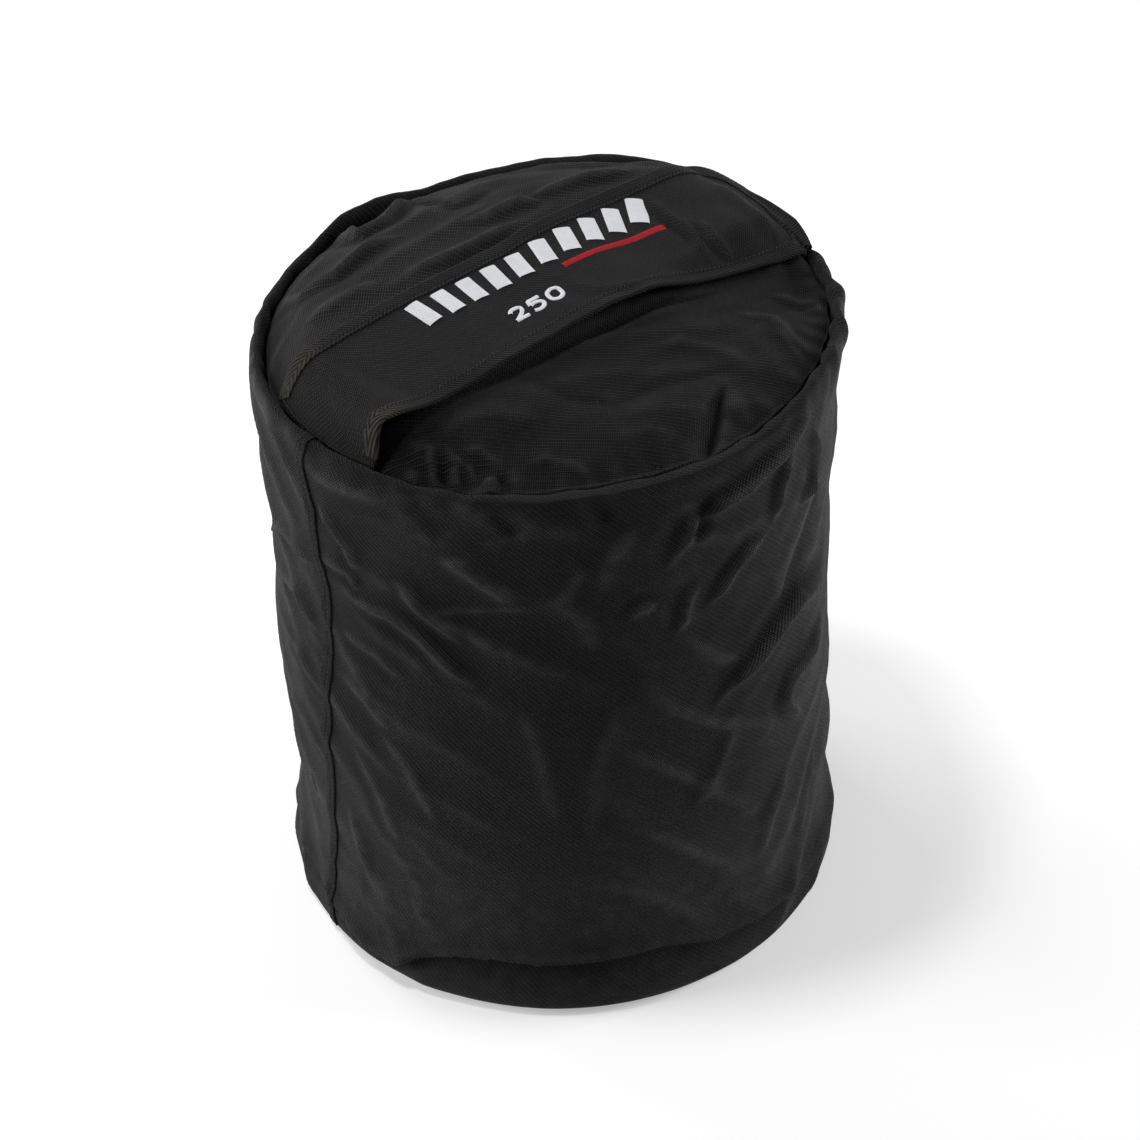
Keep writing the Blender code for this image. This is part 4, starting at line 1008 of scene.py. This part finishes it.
def make_side_strip():
    """The felled overlap: a band of cloth over the wall, turned under at its edge."""
    start = float(share_at_height(ROLL_HEIGHT * 0.6))
    end = float(ROW_SHARES[min(CREST_ROW + 9, WALL_ROWS - 1)])
    shares = np.linspace(start, end, 260)
    heights = np.interp(shares, ROW_SHARES, PROFILE[:, 1])
    edge = strip_angle(np.minimum(heights, GROOVE_HEIGHT))

    def beside(share, out):
        """Points over the wall, at a share of the strip's width from its edge."""
        return wall_point(edge - share * SEAM_STRIP_WIDTH / BAG_RADIUS, shares, out)

    across = np.array([0.0, 0.0, 0.02, 0.06, 0.12, 0.22, 0.34, 0.46, 0.58, 0.70, 0.82, 0.92, 1.0, 1.02])
    lifts = np.array([-0.0004, 0.0009, 0.0015, 0.0017, 0.0015, 0.0014, 0.0010, 0.0014, 0.0014, 0.0010, 0.0013,
                      0.0011, 0.0006, -0.0006])
    rows = []
    for x, lift in zip(across, lifts):
        pucker = 0.00018 * np.sin(2 * math.pi * heights / 0.0075 + 5 * x)
        rows.append(beside(x, lift + pucker))
    points = np.stack(rows)
    uv = np.stack(np.meshgrid(heights, across * SEAM_STRIP_WIDTH), axis=-1)
    strip = grid_piece("side_strip", points, uv, FINISHES["strip"])
    join(strip, "shell", "side_seam_strip")
    rows = [[beside(x, out) for out in (0.0013, 0.0023)] for x in (0.30, 0.66)]
    stitches = stitch_piece("strip_stitches", rows, 0.0034, 0.00034)
    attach(stitches, "shell")


def point_at(where, along, line):
    return np.array([np.interp(where, along, line[:, i]) for i in range(3)])


STITCH_SPACE = 0.0011


def stitch_piece(name, rows, length, radius):
    """Rows of stitches. Each row is two lines of points: on the cloth, and a little above it."""
    ring = [(math.cos(t), math.sin(t)) for t in np.linspace(0, 2 * math.pi, 6, endpoint=False)]
    stations = ((0.0, 0.35, -0.5), (0.18, 0.95, 0.35), (0.5, 1.0, 0.6), (0.82, 0.95, 0.35), (1.0, 0.35, -0.5))
    points, faces, uvs = [], [], []
    for on_cloth, above in rows:
        along = distances(on_cloth)
        for k in range(int(along[-1] / (length + STITCH_SPACE))):
            start = k * (length + STITCH_SPACE)
            base = len(points)
            for share, width, rise in stations:
                where = start + share * length
                centre = point_at(where, along, on_cloth)
                high = point_at(where, along, above)
                ahead = point_at(where + length * 0.2, along, on_cloth)
                back = point_at(where - length * 0.2, along, on_cloth)
                normal = high - centre
                normal /= np.linalg.norm(normal) + 1e-12
                side = np.cross(ahead - back, normal)
                side /= np.linalg.norm(side) + 1e-12
                middle = centre + normal * radius * rise
                for c, s in ring:
                    points.append(middle + (side * c + normal * s * 0.8) * radius * width)
                    uvs.append((share * length, 0.0))
            faces.extend(grid_faces(len(stations), len(ring), base, True))
            last = base + (len(stations) - 1) * len(ring)
            faces.append(tuple(range(base + len(ring) - 1, base - 1, -1)))
            faces.append(tuple(range(last, last + len(ring))))
    return make_mesh(name, points, faces, uvs, FINISHES["thread"])


BASE_COLUMNS = 144


def make_base():
    """The round base. It lies on the floor, with its edge turned up inside the wall's roll."""
    rings = np.concatenate([np.linspace(0.02, 1, 30), [1.0, 1.0]])
    turns = np.linspace(0, 2 * math.pi, BASE_COLUMNS + 1)[:-1]
    a, s = np.meshgrid(turns, rings)
    radius = s * (FLOOR_RADIUS - 0.0012)
    x, y = radius * np.cos(a), radius * np.sin(a)
    wave = np.abs(ripples(x, y, 31, 18, 0.10, 0.03, 0, 180)) * 0.0006
    z = wave * smooth((1 - s) / 0.1)
    z[-2] = 0.003
    z[-1] = 0.0080
    points = np.stack([x, y, z], axis=-1).reshape(-1, 3)
    faces = grid_faces(len(rings), BASE_COLUMNS, 0, True) + [tuple(range(BASE_COLUMNS - 1, -1, -1))]
    base = make_mesh("base", points, faces, points[:, :2], FINISHES["cloth"])
    join(base, "shell", "bottom_panel")


# Top

def make_top(name, node, side):
    columns, rows = 260, 120
    turns = np.linspace(0.004, math.pi - 0.004, columns)
    shares = np.concatenate([[0.0, 0.0], 1 - (1 - np.linspace(0, 1, rows)) ** 1.25, [1.0, 1.0]])
    a, s = np.meshgrid(turns, shares)
    turned = np.degrees(a) * side
    edge_radius = TOP_EDGE_RADIUS + TOP_EDGE_CLOSED * np.exp(-((turned - 75) / 50) ** 2)
    x = edge_radius * np.cos(a)
    rim = edge_radius * np.sin(a)
    inner = np.where(np.abs(x) < SLIT_REACH, OPENING_HALF_WIDTH, 0.0004)
    y = side * mix(inner, np.maximum(rim, inner + 0.0002), s)
    z = top_height(x, y)
    angle = np.arctan2(y, x)
    seam_out, seam_up = seam_shift(angle)
    near_seam = smooth((np.hypot(x, y) / GROOVE_RADIUS - 0.86) / 0.13)
    x = x + seam_out * near_seam * np.cos(angle)
    y = y + seam_out * near_seam * np.sin(angle)
    z = z + seam_up * near_seam
    y[0] += side * 0.009
    z[0] = z[1] - 0.0030
    z[-2] -= 0.0035
    z[-1] -= SEAM_DEPTH
    points = np.stack([x, y, z], axis=-1)
    # The front half takes the darker copy of the cloth (painted shade) and the rear half the paler one
    # (painted light); both get painted highlight, with some wear, on their ridges.
    finish = FINISHES["rear" if side > 0 else "front"]
    top = grid_piece(name, points, np.stack([x, y], axis=-1), finish, flip=side > 0)
    set_highlight_and_wear(top, ridge_highlight_and_wear(z - dome_height(x, y), 4, 0.0010 if side < 0 else 0.0007))
    join(top, "shell", node)


# Flap

# How far each edge of the flap veers toward the camera: place along the flap and distance
NEAR_VEER = ((-0.204, 0.0), (-0.050, 0.0005), (0.016, 0.003), (0.056, 0.006), (0.096, 0.010), (0.122, 0.014),
             (0.157, 0.019), (0.190, 0.025), (0.230, 0.030))
FAR_VEER = ((-0.204, -0.0165), (-0.190, -0.0120), (-0.177, -0.0060), (-0.155, -0.0020), (-0.120, 0.0),
            (0.100, 0.001), (0.200, 0.004))
# Share across the flap, from its near edge, and how far out its free end reaches
END_REACHES = ((0.0, 0.2075), (0.12, 0.2110), (0.30, 0.2155), (1.0, 0.2170))


def plan_y(x, y):
    """Where a place across the flap lies in plan. The flap is a little wider at both ends, and askew."""
    share = (y + FLAP_HALF_WIDTH) / (2 * FLAP_HALF_WIDTH)
    return y - mix(table_value(NEAR_VEER, x), table_value(FAR_VEER, x), share)


def share_across(x, y):
    """How far across the flap a place in plan lies, from its near edge."""
    near = -FLAP_HALF_WIDTH - table_value(NEAR_VEER, x)
    far = FLAP_HALF_WIDTH - table_value(FAR_VEER, x)
    return (y - near) / (far - near)


def seam_x(y):
    """Where along the flap its sewn end lies, at a place across it."""
    x = -GROOVE_RADIUS
    for _ in range(4):
        x = -np.sqrt(GROOVE_RADIUS ** 2 - plan_y(x, y) ** 2)
    return x


def flap_end(y):
    share = (y + FLAP_HALF_WIDTH) / (2 * FLAP_HALF_WIDTH)
    radius = table_value(END_REACHES, share)
    reach = radius
    for _ in range(4):
        reach = np.sqrt(radius ** 2 - plan_y(reach, y) ** 2)
    corner = np.maximum(y - (FLAP_HALF_WIDTH - FLAP_CORNER_RADIUS), 0)
    rounded = reach - FLAP_CORNER_RADIUS + np.sqrt(np.maximum(FLAP_CORNER_RADIUS ** 2 - corner ** 2, 0))
    return np.where(corner <= 0, reach, rounded)


# The flap's hems: pixels of the outer edge of the tape, from its sewn end to the free one
NEAR_HEM = (
    (380, 422), (395, 412), (430, 402), (465, 385), (510, 357), (555, 332), (610, 302), (655, 285),
    (700, 280), (730, 274), (770, 262), (808, 250),
)
FAR_HEM = (
    (300, 355), (330, 340), (380, 312), (430, 285), (480, 257), (530, 225), (580, 202), (630, 182),
    (665, 171), (700, 167), (722, 172),
)


def hem_profile(pixels, side):
    """Places along the flap and the hem's heights there."""
    edge = side * FLAP_HALF_WIDTH
    groove = float(seam_x(edge))
    places = [(groove, GROOVE_HEIGHT + float(lean_at(groove, plan_y(groove, edge))))]
    start = np.array(CAMERA_PLACE)
    for px, py in pixels:
        ray = pixel_ray(px, py)
        x = 0.0
        for _ in range(6):
            y = float(plan_y(x, edge))
            hit = start + ray * (y - start[1]) / ray[1]
            x = hit[0]
        if x > groove + 0.004:
            places.append((x, hit[2] - CLOTH - TAPE_THICKNESS))
    last = places[-1]
    places.append((max(0.23, last[0] + 0.02), last[1] - 0.010))
    line = spline(places, 200)
    return line[:, 0], line[:, 1]


def flap_rest(x, y):
    """Height of the flap's underside, from its two hems, with its middle resting on the top."""
    across = np.clip(share_across(x, y), -0.1, 1.1)
    near = np.interp(x, *HEMS["near"])
    far = np.interp(x, *HEMS["far"])
    sag = 0.0025 * np.sin(np.pi * np.clip(across, 0, 1)) * smooth((x + 0.17) / 0.03)
    wanted = mix(near, far, across) - sag
    support = np.where(np.hypot(x, y) < GROOVE_RADIUS, dome_height(x, y) - top_slump(x, y), rim_height(x, y))
    past_root = smooth((x + GROOVE_RADIUS) / 0.025) * (1 - 0.5 * smooth((x - 0.165) / 0.03))
    support = support + mix(ROOT_LIFT, STANDOFF + 0.0006, past_root)
    over = wanted - support
    return support + 0.5 * (over + np.sqrt(over ** 2 + 0.0016 ** 2))


def rim_height(x, y):
    """The height of the rim's crest."""
    return GROOVE_HEIGHT + LIP_RISE * lip_share(np.arctan2(y, x)) + lean_at(x, y) + CLOTH


# Folds of the flap that the photograph shows
FLAP_FOLDS = (
    (((643, 196), (665, 216), (695, 238), (705, 264)), 0.0024, 0.0045),
    (((698, 221), (712, 240), (731, 262)), 0.0024, 0.0045),
    (((709, 182), (739, 204), (773, 238), (784, 251)), 0.0026, 0.0070),
    (((560, 285), (600, 290), (650, 285)), 0.0012, 0.0060),
    (((330, 385), (350, 410), (368, 440)), 0.0012, 0.0070),
)
# Filled in by measure_flap: the height of each hem, and the folds in plan
HEMS = {}
FLAP_LINES = []


def flap_height(x, y):
    height = flap_rest(x, y) - STANDOFF
    for line, rise, width in FLAP_LINES:
        height = height + fold_height(x, y, line, rise, width, valley=0.7)
    calm = smooth((x + 0.14) / 0.03)
    waves = ripples(x, y, 41, 14, 0.09, 0.03, 20, 70)
    return height + calm * 0.0006 * (1 + waves)


def measure_flap():
    HEMS["near"] = hem_profile(NEAR_HEM, -1)
    HEMS["far"] = hem_profile(FAR_HEM, 1)
    for pixels, height, width in FLAP_FOLDS:
        FLAP_LINES.append(([on_top(px, py, flap_rest) for px, py in pixels], height, width))


def flap_lift(x, y):
    """The gap between the top and the flap: small where the flap dives into the seam."""
    groove = np.sqrt(GROOVE_RADIUS ** 2 - np.minimum(np.abs(y), 0.07) ** 2)
    share = (-x - FOLD_REACH) / (groove - FOLD_REACH)
    return mix(STANDOFF, ROOT_LIFT, smooth(share))


def flap_point(x, y, lift=0.0):
    """Points above the flap's underside, along its normal. y is measured across the flap, from its middle."""
    x = np.asarray(x, float)
    y = plan_y(x, np.asarray(y, float))
    step = 0.0008
    z = flap_height(x, y)
    slope_x = (flap_height(x + step, y) - flap_height(x - step, y)) / (2 * step)
    slope_y = (flap_height(x, y + step) - flap_height(x, y - step)) / (2 * step)
    normal = np.stack([-slope_x, -slope_y, np.ones_like(z)], axis=-1)
    normal /= np.linalg.norm(normal, axis=-1, keepdims=True)
    height = (flap_lift(x, y) + lift)[..., None]
    return np.stack([x, y, z], axis=-1) + normal * height


def flap_stations(y, end):
    """Places along the flap at one place across it, from the seam to its end."""
    groove = seam_x(y)
    root = mix(groove, -FOLD_REACH, np.linspace(0, 1, 40, endpoint=False)[:, None])
    rest = mix(-FOLD_REACH, end, np.linspace(0, 1, 190)[:, None])
    return np.concatenate([root, rest])


def blend_over_fold(piece):
    """Bakes the piece's placement into its points."""
    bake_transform(piece)


def make_flap():
    ys = np.linspace(-FLAP_HALF_WIDTH, FLAP_HALF_WIDTH, 64)
    x = flap_stations(ys[None, :], flap_end(ys)[None, :])
    y = np.repeat(ys[None, :], x.shape[0], axis=0)
    points = flap_point(x, y, CLOTH)
    flap = grid_piece("flap", points, np.stack([x, y], axis=-1), FINISHES["flap"], flip=True)
    thick(flap, CLOTH)
    blend_over_fold(flap)
    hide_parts("flap_panel", "flap_root")
    return flap


def line_length(points):
    return float(np.linalg.norm(np.diff(np.asarray(points, float), axis=0), axis=1).sum())


def even_path(line, step, least=2):
    """A line as evenly spaced points, with the way to its left and the distance along it."""
    path = resample(np.array(line, float), max(int(line_length(line) / step), least))
    runs = np.gradient(path, axis=0)
    runs /= np.linalg.norm(runs, axis=1)[:, None]
    left = np.column_stack([-runs[:, 1], runs[:, 0]])
    return path, left, np.linspace(0, line_length(path), len(path))


def tape_section():
    """The edge tape's outline: how far out from the edge, and the lift above the cloth's underside."""
    top = CLOTH + TAPE_THICKNESS + 0.0001
    low = -TAPE_THICKNESS - 0.0001
    middle = (top + low) / 2
    half = (top - low) / 2
    outer = [(-TAPE_WIDTH, CLOTH), (-TAPE_WIDTH, top - 0.0003)]
    outer += [(o, top) for o in np.linspace(-TAPE_WIDTH + 0.0002, 0, 18)]
    outer += [(half * math.sin(t), middle + half * math.cos(t)) for t in np.linspace(0.4, math.pi - 0.4, 6)]
    outer += [(o, low) for o in np.linspace(0, -TAPE_WIDTH, 6)]
    outer += [(-TAPE_WIDTH, 0.0)]
    return outer


def tape_piece(name, path, stitch_name):
    """Edge tape along a path of plan points, with the outside of the flap on its left."""
    path, out_way, along = even_path(path, 0.0006)
    section = tape_section()
    rows, uvs = [], []
    for (out, lift), across in zip(section, distances(section)):
        place = path + out_way * out
        ribbed = 0.0
        if lift > CLOTH + TAPE_THICKNESS * 0.9:
            slant = along + abs(out + TAPE_WIDTH / 2) * 0.9
            ribbed = 0.00011 * np.sin(2 * math.pi * slant / HERRINGBONE_PITCH)
        rows.append(flap_point(*place.T, lift + ribbed))
        uvs.append(np.column_stack([along, np.full(len(path), across)]))
    points = np.stack(rows + [rows[0]])
    uv = np.stack(uvs + [uvs[0]])
    tape = grid_piece(name, points, uv, FINISHES["tape"])
    blend_over_fold(tape)
    inset = path + out_way * (0.0016 - TAPE_WIDTH)
    top = CLOTH + TAPE_THICKNESS
    line = [flap_point(*inset.T, lift) for lift in (top, top + 0.001)]
    stitches = stitch_piece(stitch_name, [line], 0.0030, 0.00030)
    blend_over_fold(stitches)
    return tape


def make_tapes():
    edge = FLAP_HALF_WIDTH
    groove = float(seam_x(edge)) + 0.002
    far = [(x, edge) for x in np.linspace(groove, float(flap_end(np.array(edge))), 120)]
    turns = np.linspace(0, math.pi / 2, 24)[1:]
    corner = edge - FLAP_CORNER_RADIUS
    ys = [corner + FLAP_CORNER_RADIUS * math.cos(t) for t in turns]
    ys += list(np.linspace(corner, -edge, 60)[1:])
    far += [(float(flap_end(np.array(y))), y) for y in ys]
    tape = tape_piece("flap_tape_far", far, "flap_stitches_far")
    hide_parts("flap_binding_far", "flap_root_binding_far")
    last = float(flap_end(np.array(-edge))) - TAPE_WIDTH * 0.4
    near = [(x, -edge) for x in np.linspace(last, float(seam_x(-edge)) + 0.002, 120)]
    other = tape_piece("flap_tape_near", near, "flap_stitches_near")
    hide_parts("flap_binding_near", "flap_root_binding_near")
    return tape, other


# Embroidery

def satin(name, strokes, finish, rise=0.0009):
    """Satin stitch along strokes of plan points, each with its half width."""
    points, faces, uvs = [], [], []
    offsets = np.linspace(-1, 1, 11)
    for line, half in strokes:
        path, side, along = even_path(line, 0.00022, 8)
        base = len(points)
        rib = 1 + 0.10 * np.sin(2 * math.pi * along / 0.00066)
        block = []
        for o in offsets:
            place = path + side * (half * o)
            crown = rise * math.sqrt(max(1 - 0.92 * o * o, 0)) if abs(o) < 1 else -0.0001
            block.append(flap_point(*place.T, CLOTH + crown * rib))
            uvs.extend(zip(along, np.full(len(path), half * o)))
        points.extend(np.concatenate(block))
        faces.extend(grid_faces(len(offsets), len(path), base))
    return make_mesh(name, points, faces, uvs, finish)


def curve(points, count=40):
    return [tuple(p) for p in spline(points, count)]


def digit_strokes(origin, height, width):
    """The numerals 2, 5 and 0 as strokes, in shares of a digit's width and height."""
    two = [curve([(0.02, 0.72), (0.12, 0.92), (0.42, 1.0), (0.78, 0.92), (0.86, 0.68), (0.66, 0.42),
                  (0.08, 0.04)])]
    two.append([(0.0, 0.04), (0.50, 0.04), (1.0, 0.04)])
    five = [[(0.92, 0.98), (0.5, 0.98), (0.10, 0.98)], [(0.13, 1.0), (0.10, 0.78), (0.07, 0.54)]]
    five.append(curve([(0.05, 0.56), (0.35, 0.66), (0.74, 0.58), (0.92, 0.34), (0.76, 0.08), (0.40, -0.01),
                       (0.04, 0.10)]))
    zero = [curve([(0.50, 1.0), (0.14, 0.84), (0.05, 0.50), (0.14, 0.16), (0.50, 0.0), (0.86, 0.16),
                   (0.95, 0.50), (0.86, 0.84), (0.50, 1.0)], 60)]
    strokes = []
    pitch = width * 1.42
    for index, digit in enumerate((two, five, zero)):
        for line in digit:
            placed = []
            for a, b in line:
                x = origin[0] + pitch * index + width * a + 0.16 * height * b
                placed.append((x, origin[1] + height * b))
            strokes.append((placed, width * 0.145))
    return strokes


# Corners of the place where the flap is embroidered, in plan: the top line's ends and the bottom line's ends
MARK_TOP = ((-0.108, 0.0370), (0.1240, 0.0355))
MARK_BASE = ((-0.098, 0.0130), (0.1140, 0.0140))
BAR_COUNT = 10
BAR_HALF_WIDTH = 0.0068


def make_embroidery():
    """Plain slanted bars, a thin line beside them and plain numerals."""
    white = []
    for index in range(BAR_COUNT):
        share = (index + 0.5) / BAR_COUNT
        low = np.array(MARK_BASE[0]) + (np.array(MARK_BASE[1]) - MARK_BASE[0]) * (share - 0.012)
        high = np.array(MARK_TOP[0]) + (np.array(MARK_TOP[1]) - MARK_TOP[0]) * (share + 0.012)
        white.append(([tuple(low), tuple(high)], BAR_HALF_WIDTH))
    red = [([(0.0200, 0.0045), (0.1120, 0.0030)], 0.0026)]
    pieces = [
        satin("stripes", white, FINISHES["white"]),
        satin("accent_line", red, FINISHES["red"], 0.0007),
        satin("numerals", digit_strokes((-0.0450, -0.0215), 0.0125, 0.0118), FINISHES["white"]),
    ]
    for piece in pieces:
        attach(piece, "flap")
    return pieces


# Zipper tape, closure tape and liner

def strip_piece(name, node, body, x_reach, across, height, depth, finish, roughness):
    """A long strip of tape along the zipper, with uneven pile."""
    xs = np.linspace(-x_reach, x_reach, int(2 * x_reach / 0.0015))
    ys = np.linspace(across[0], across[1], 12)
    x, y = np.meshgrid(xs, ys)
    rng = np.random.default_rng(len(name))
    pile = roughness * rng.random(x.shape)
    z = height(x, y) + pile
    top = np.stack([x, y, z], axis=-1)
    strip = grid_piece(name, top, np.stack([x, y], axis=-1), finish)
    thick(strip, depth)
    join(strip, body, node)


# Half length, and how far the near and far edge lie from the middle of the flap
ZIP_TAPE = (0.1695, (0.0051, 0.0170))
CLOSURE_TAPE = (0.1418, (0.0222, 0.0358))


def make_strips():
    tape_top = ZIPPER_HEIGHT - CLOTH - 0.0003
    for name, side in (("front", -1), ("rear", 1)):
        reach, span = ZIP_TAPE[0], sorted(edge * side for edge in ZIP_TAPE[1])
        strip_piece("zip_tape_" + name, "zipper_tape_" + name, "shell", reach, span,
                    lambda x, y: np.full_like(x, tape_top - 0.0001), 0.0006, FINISHES["binding"], 0.0001)
        reach, span = CLOSURE_TAPE[0], sorted(edge * side for edge in CLOSURE_TAPE[1])
        strip_piece("loops_" + name, "loop_tape_" + name, "shell", reach, span,
                    lambda x, y: top_height(x, y) + 0.0012, 0.0008, FINISHES["loops"], 0.0004)
        strip_piece("hooks_" + name, "flap_hook_tape_" + name, "flap", reach, span,
                    lambda x, y: flap_height(x, y) + STANDOFF - 0.0008, 0.0008, FINISHES["hooks"], 0.0003)


# Heading of the liner's ripples, and how far they stray from it, in degrees
LINER_HEADING = (math.degrees(1.0), math.degrees(1.2))
LINER_RADIUS = 0.1980
SAND_RADIUS = 0.1940
DOME_INSET_RADIUS = 0.1995   # where the liner's shoulder lies under the top's edge
TROUGH_DEPTH = 0.0190
LINER_INSET = 0.0075         # in from the wall
SAND_INSET = 0.0105
LINER_BELOW_TOP = 0.0088
SAND_BELOW_TOP = 0.0125


def under_top(place, below):
    """Heights below the top, with a trough for the zipper and the liner's neck."""
    trough = TROUGH_DEPTH * (1 - smooth((np.abs(place[:, 1]) - 0.026) / 0.030))
    x, y = (place * GROOVE_RADIUS / DOME_INSET_RADIUS).T
    return dome_height(x, y) - top_slump(x, y) - below - trough


def make_liner():
    """The inner bag. It follows the outer bag a little way in, with soft creases."""
    turns, ring = ring_of(180)
    heights = np.linspace(0.0022, 0.452, 70)
    radii = table_value(WALL_PROFILE, heights) - LINER_INSET
    radii = np.minimum(radii, 0.1990 + np.sqrt(np.maximum(heights - 0.0022, 0)) * 0.06)
    rows = [level_ring(ring, radii[0] * s, 0.0021) for s in (0.02, 0.3, 0.6, 0.85)]
    for r, z in zip(radii, heights):
        level = np.full_like(turns, z)
        ripple = 0.0012 * ripples(turns * r, level, 51, 16, 0.09, 0.03, *LINER_HEADING, 2 * math.pi * r)
        fade = smooth((z - 0.004) / 0.03) * smooth((0.45 - z) / 0.02)
        rows.append(np.column_stack([ring * (r + ripple * fade)[:, None], level]))
    rows.append(level_ring(ring, LINER_RADIUS, 0.4600))
    for s in (0.97, 0.93, 0.88, 0.8, 0.7, 0.58, 0.45, 0.3, 0.15, 0.03):
        place = ring * LINER_RADIUS * s
        rows.append(np.column_stack([place, under_top(place, LINER_BELOW_TOP)]))
    liner = lathe_piece("liner", rows, turns, 0.2, 0.9, FINISHES["liner"])
    join(liner, "shell", "liner_bag")


def make_neck():
    """The inner bag's neck, folded over and closed with its own strips."""
    low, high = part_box("liner_neck")
    xs = np.linspace(low[0], high[0], 140)
    near, far, top = low[1], high[1], high[2]
    middle = 0.5 * (near + far)
    outline = [(far, low[2] + 0.0004), (far, top - 0.0012), (far - 0.0009, top - 0.0003),
               (middle, top - 0.0003), (near, top - 0.0004), (near, top - 0.0012),
               (middle, top - 0.0014), (far - 0.0014, top - 0.0014), (far - 0.0014, low[2] + 0.0004)]
    line = resample(np.array(outline), 24)
    points = np.zeros((len(line), len(xs), 3))
    for i, (y, z) in enumerate(line):
        points[i, :, 0] = xs
        points[i, :, 1] = y
        points[i, :, 2] = z + 0.00012 * np.sin(xs / 0.0037 + i)
    uv = np.stack(np.meshgrid(xs, np.linspace(0, 0.04, len(line))), axis=-1)
    neck = grid_piece("liner_sleeve", points, uv, FINISHES["liner"])
    join(neck, "shell", "liner_neck")
    for node, finish in (("liner_loop_tape", "loops"), ("liner_hook_tape", "hooks")):
        low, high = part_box(node)
        strip_piece(node + "_pile", node, "shell", high[0], (low[1], high[1]),
                    lambda x, y, top=high[2]: np.full_like(x, top - 0.0003), 0.0005, FINISHES[finish], 0.0002)


def make_seam_tapes():
    """Tape folded over the inner seam edges, under the rim and inside the roll."""
    turns, ring = ring_of(180)
    top_end, base_end = GROOVE_HEIGHT - SEAM_DEPTH - 0.0008, 0.0096
    sections = {
        "top_seam_binding": [(0.2022, top_end + 0.0045), (0.2022, top_end), (0.2072, top_end),
                             (0.2072, top_end + 0.0045)],
        "bottom_seam_binding": [(0.2076, base_end - 0.0045), (0.2076, base_end), (0.2126, base_end),
                                (0.2126, base_end - 0.0045)],
    }
    for node, outline in sections.items():
        line = resample(np.array(outline), 16)
        rows = []
        for r, z in line:
            place = ring * r
            lean = lean_at(*place.T) if z > ROLL_HEIGHT else 0.0
            rows.append(np.column_stack([place, z + lean + np.zeros(len(turns))]))
        tape = lathe_piece(node + "_tape", rows, turns, BAG_RADIUS, 0.014, FINISHES["binding"])
        thick(tape, 0.0006, 0.0)
        join(tape, "shell", node)


def make_sand():
    """The filling: a heap that takes the liner's shape, with a soft uneven top."""
    turns, ring = ring_of(120)
    rows = [level_ring(ring, 0.196 * s, 0.0036) for s in (0.02, 0.5, 0.95)]
    for z in np.linspace(0.006, 0.440, 30):
        radius = float(table_value(WALL_PROFILE, z)) - SAND_INSET
        rows.append(level_ring(ring, min(radius, 0.198 + z * 0.3), z))
    for s in (0.97, 0.92, 0.85, 0.75, 0.6, 0.45, 0.3, 0.15, 0.02):
        place = ring * SAND_RADIUS * s
        wave = 0.0008 * ripples(*place.T, 61, 10, 0.08, 0.03, 0, 180)
        rows.append(np.column_stack([place, np.minimum(under_top(place, SAND_BELOW_TOP) + wave, 0.500)]))
    sand = lathe_piece("sand", rows, turns, 0.2, 0.9, FINISHES["sand"])
    join(sand, "shell", "sand_fill")


# Stage

FLOOR_COLOR = (0.70, 0.70, 0.70)
FLOOR_HALF_SIZE = 14.0
FLOOR_GLOW = 0.37
SKY_STRENGTH = 0.16
LAMPS_AIM = (0.0, 0.0, 0.25)
# Name, place, side length and power of each soft lamp
LAMPS = (
    ("key", (-0.54, 0.27, 3.2), 0.4, 30.0),
    ("left", (-2.2, 1.4, 1.3), 1.4, 42.0),
    ("right", (2.0, -1.3, 1.3), 1.4, 44.0),
    ("rear", (-0.2, 2.3, 1.8), 1.4, 32.0),
)


def make_stage():
    """A pale floor, the soft lamps and an even sky."""
    scene = bpy.context.scene
    floor_mesh = bpy.data.meshes.new("floor")
    corners = [(FLOOR_HALF_SIZE * x, FLOOR_HALF_SIZE * y, 0) for x, y in ((-1, -1), (1, -1), (1, 1), (-1, 1))]
    floor_mesh.from_pydata(corners, [], [(0, 1, 2, 3)])
    floor = add_object("floor", floor_mesh)
    n = Nodes("floor_paper")
    n.set("Base Color", (*FLOOR_COLOR, 1))
    n.set("Roughness", 0.9)
    n.set("Specular IOR Level", 0.1)
    path = n.add("ShaderNodeLightPath")
    seen = n.math("MAXIMUM", path.outputs["Is Camera Ray"], path.outputs["Is Glossy Ray"])
    seen = n.math("MAXIMUM", seen, path.outputs["Is Transmission Ray"])
    n.set("Emission Color", (1, 1, 1, 1))
    n.set("Emission Strength", n.math("MULTIPLY", seen, FLOOR_GLOW))
    floor_mesh.materials.append(n.made)
    n = Nodes("sky", world=True)
    scene.world = n.made
    n.set("Color", (1, 1, 1, 1))
    path = n.add("ShaderNodeLightPath")
    seen = n.math("MAXIMUM", path.outputs["Is Camera Ray"], path.outputs["Is Transmission Ray"])
    n.set("Strength", n.ramp(seen, 0.0, 1.0, SKY_STRENGTH, 1.0))
    for name, place, size, power in LAMPS:
        data = bpy.data.lights.new(name, "AREA")
        data.shape = "SQUARE"
        data.size = size
        data.energy = power
        lamp = add_object(name, data)
        lamp.location = place
        aim = np.array(LAMPS_AIM) - np.array(place)
        lamp.rotation_euler = Vector(tuple(aim)).to_track_quat("-Z", "Y").to_euler()
    scene.view_settings.view_transform = "Standard"


def main():
    make_camera()
    make_finishes()
    dress_nodes()
    make_wall()
    make_side_strip()
    make_base()
    make_top("top_front", "top_panel_front", -1)
    make_top("top_rear", "top_panel_rear", 1)
    measure_flap()
    flap = make_flap()
    tapes = make_tapes()
    pieces = make_embroidery()
    make_strips()
    make_liner()
    make_neck()
    make_seam_tapes()
    make_sand()
    make_stage()


main()
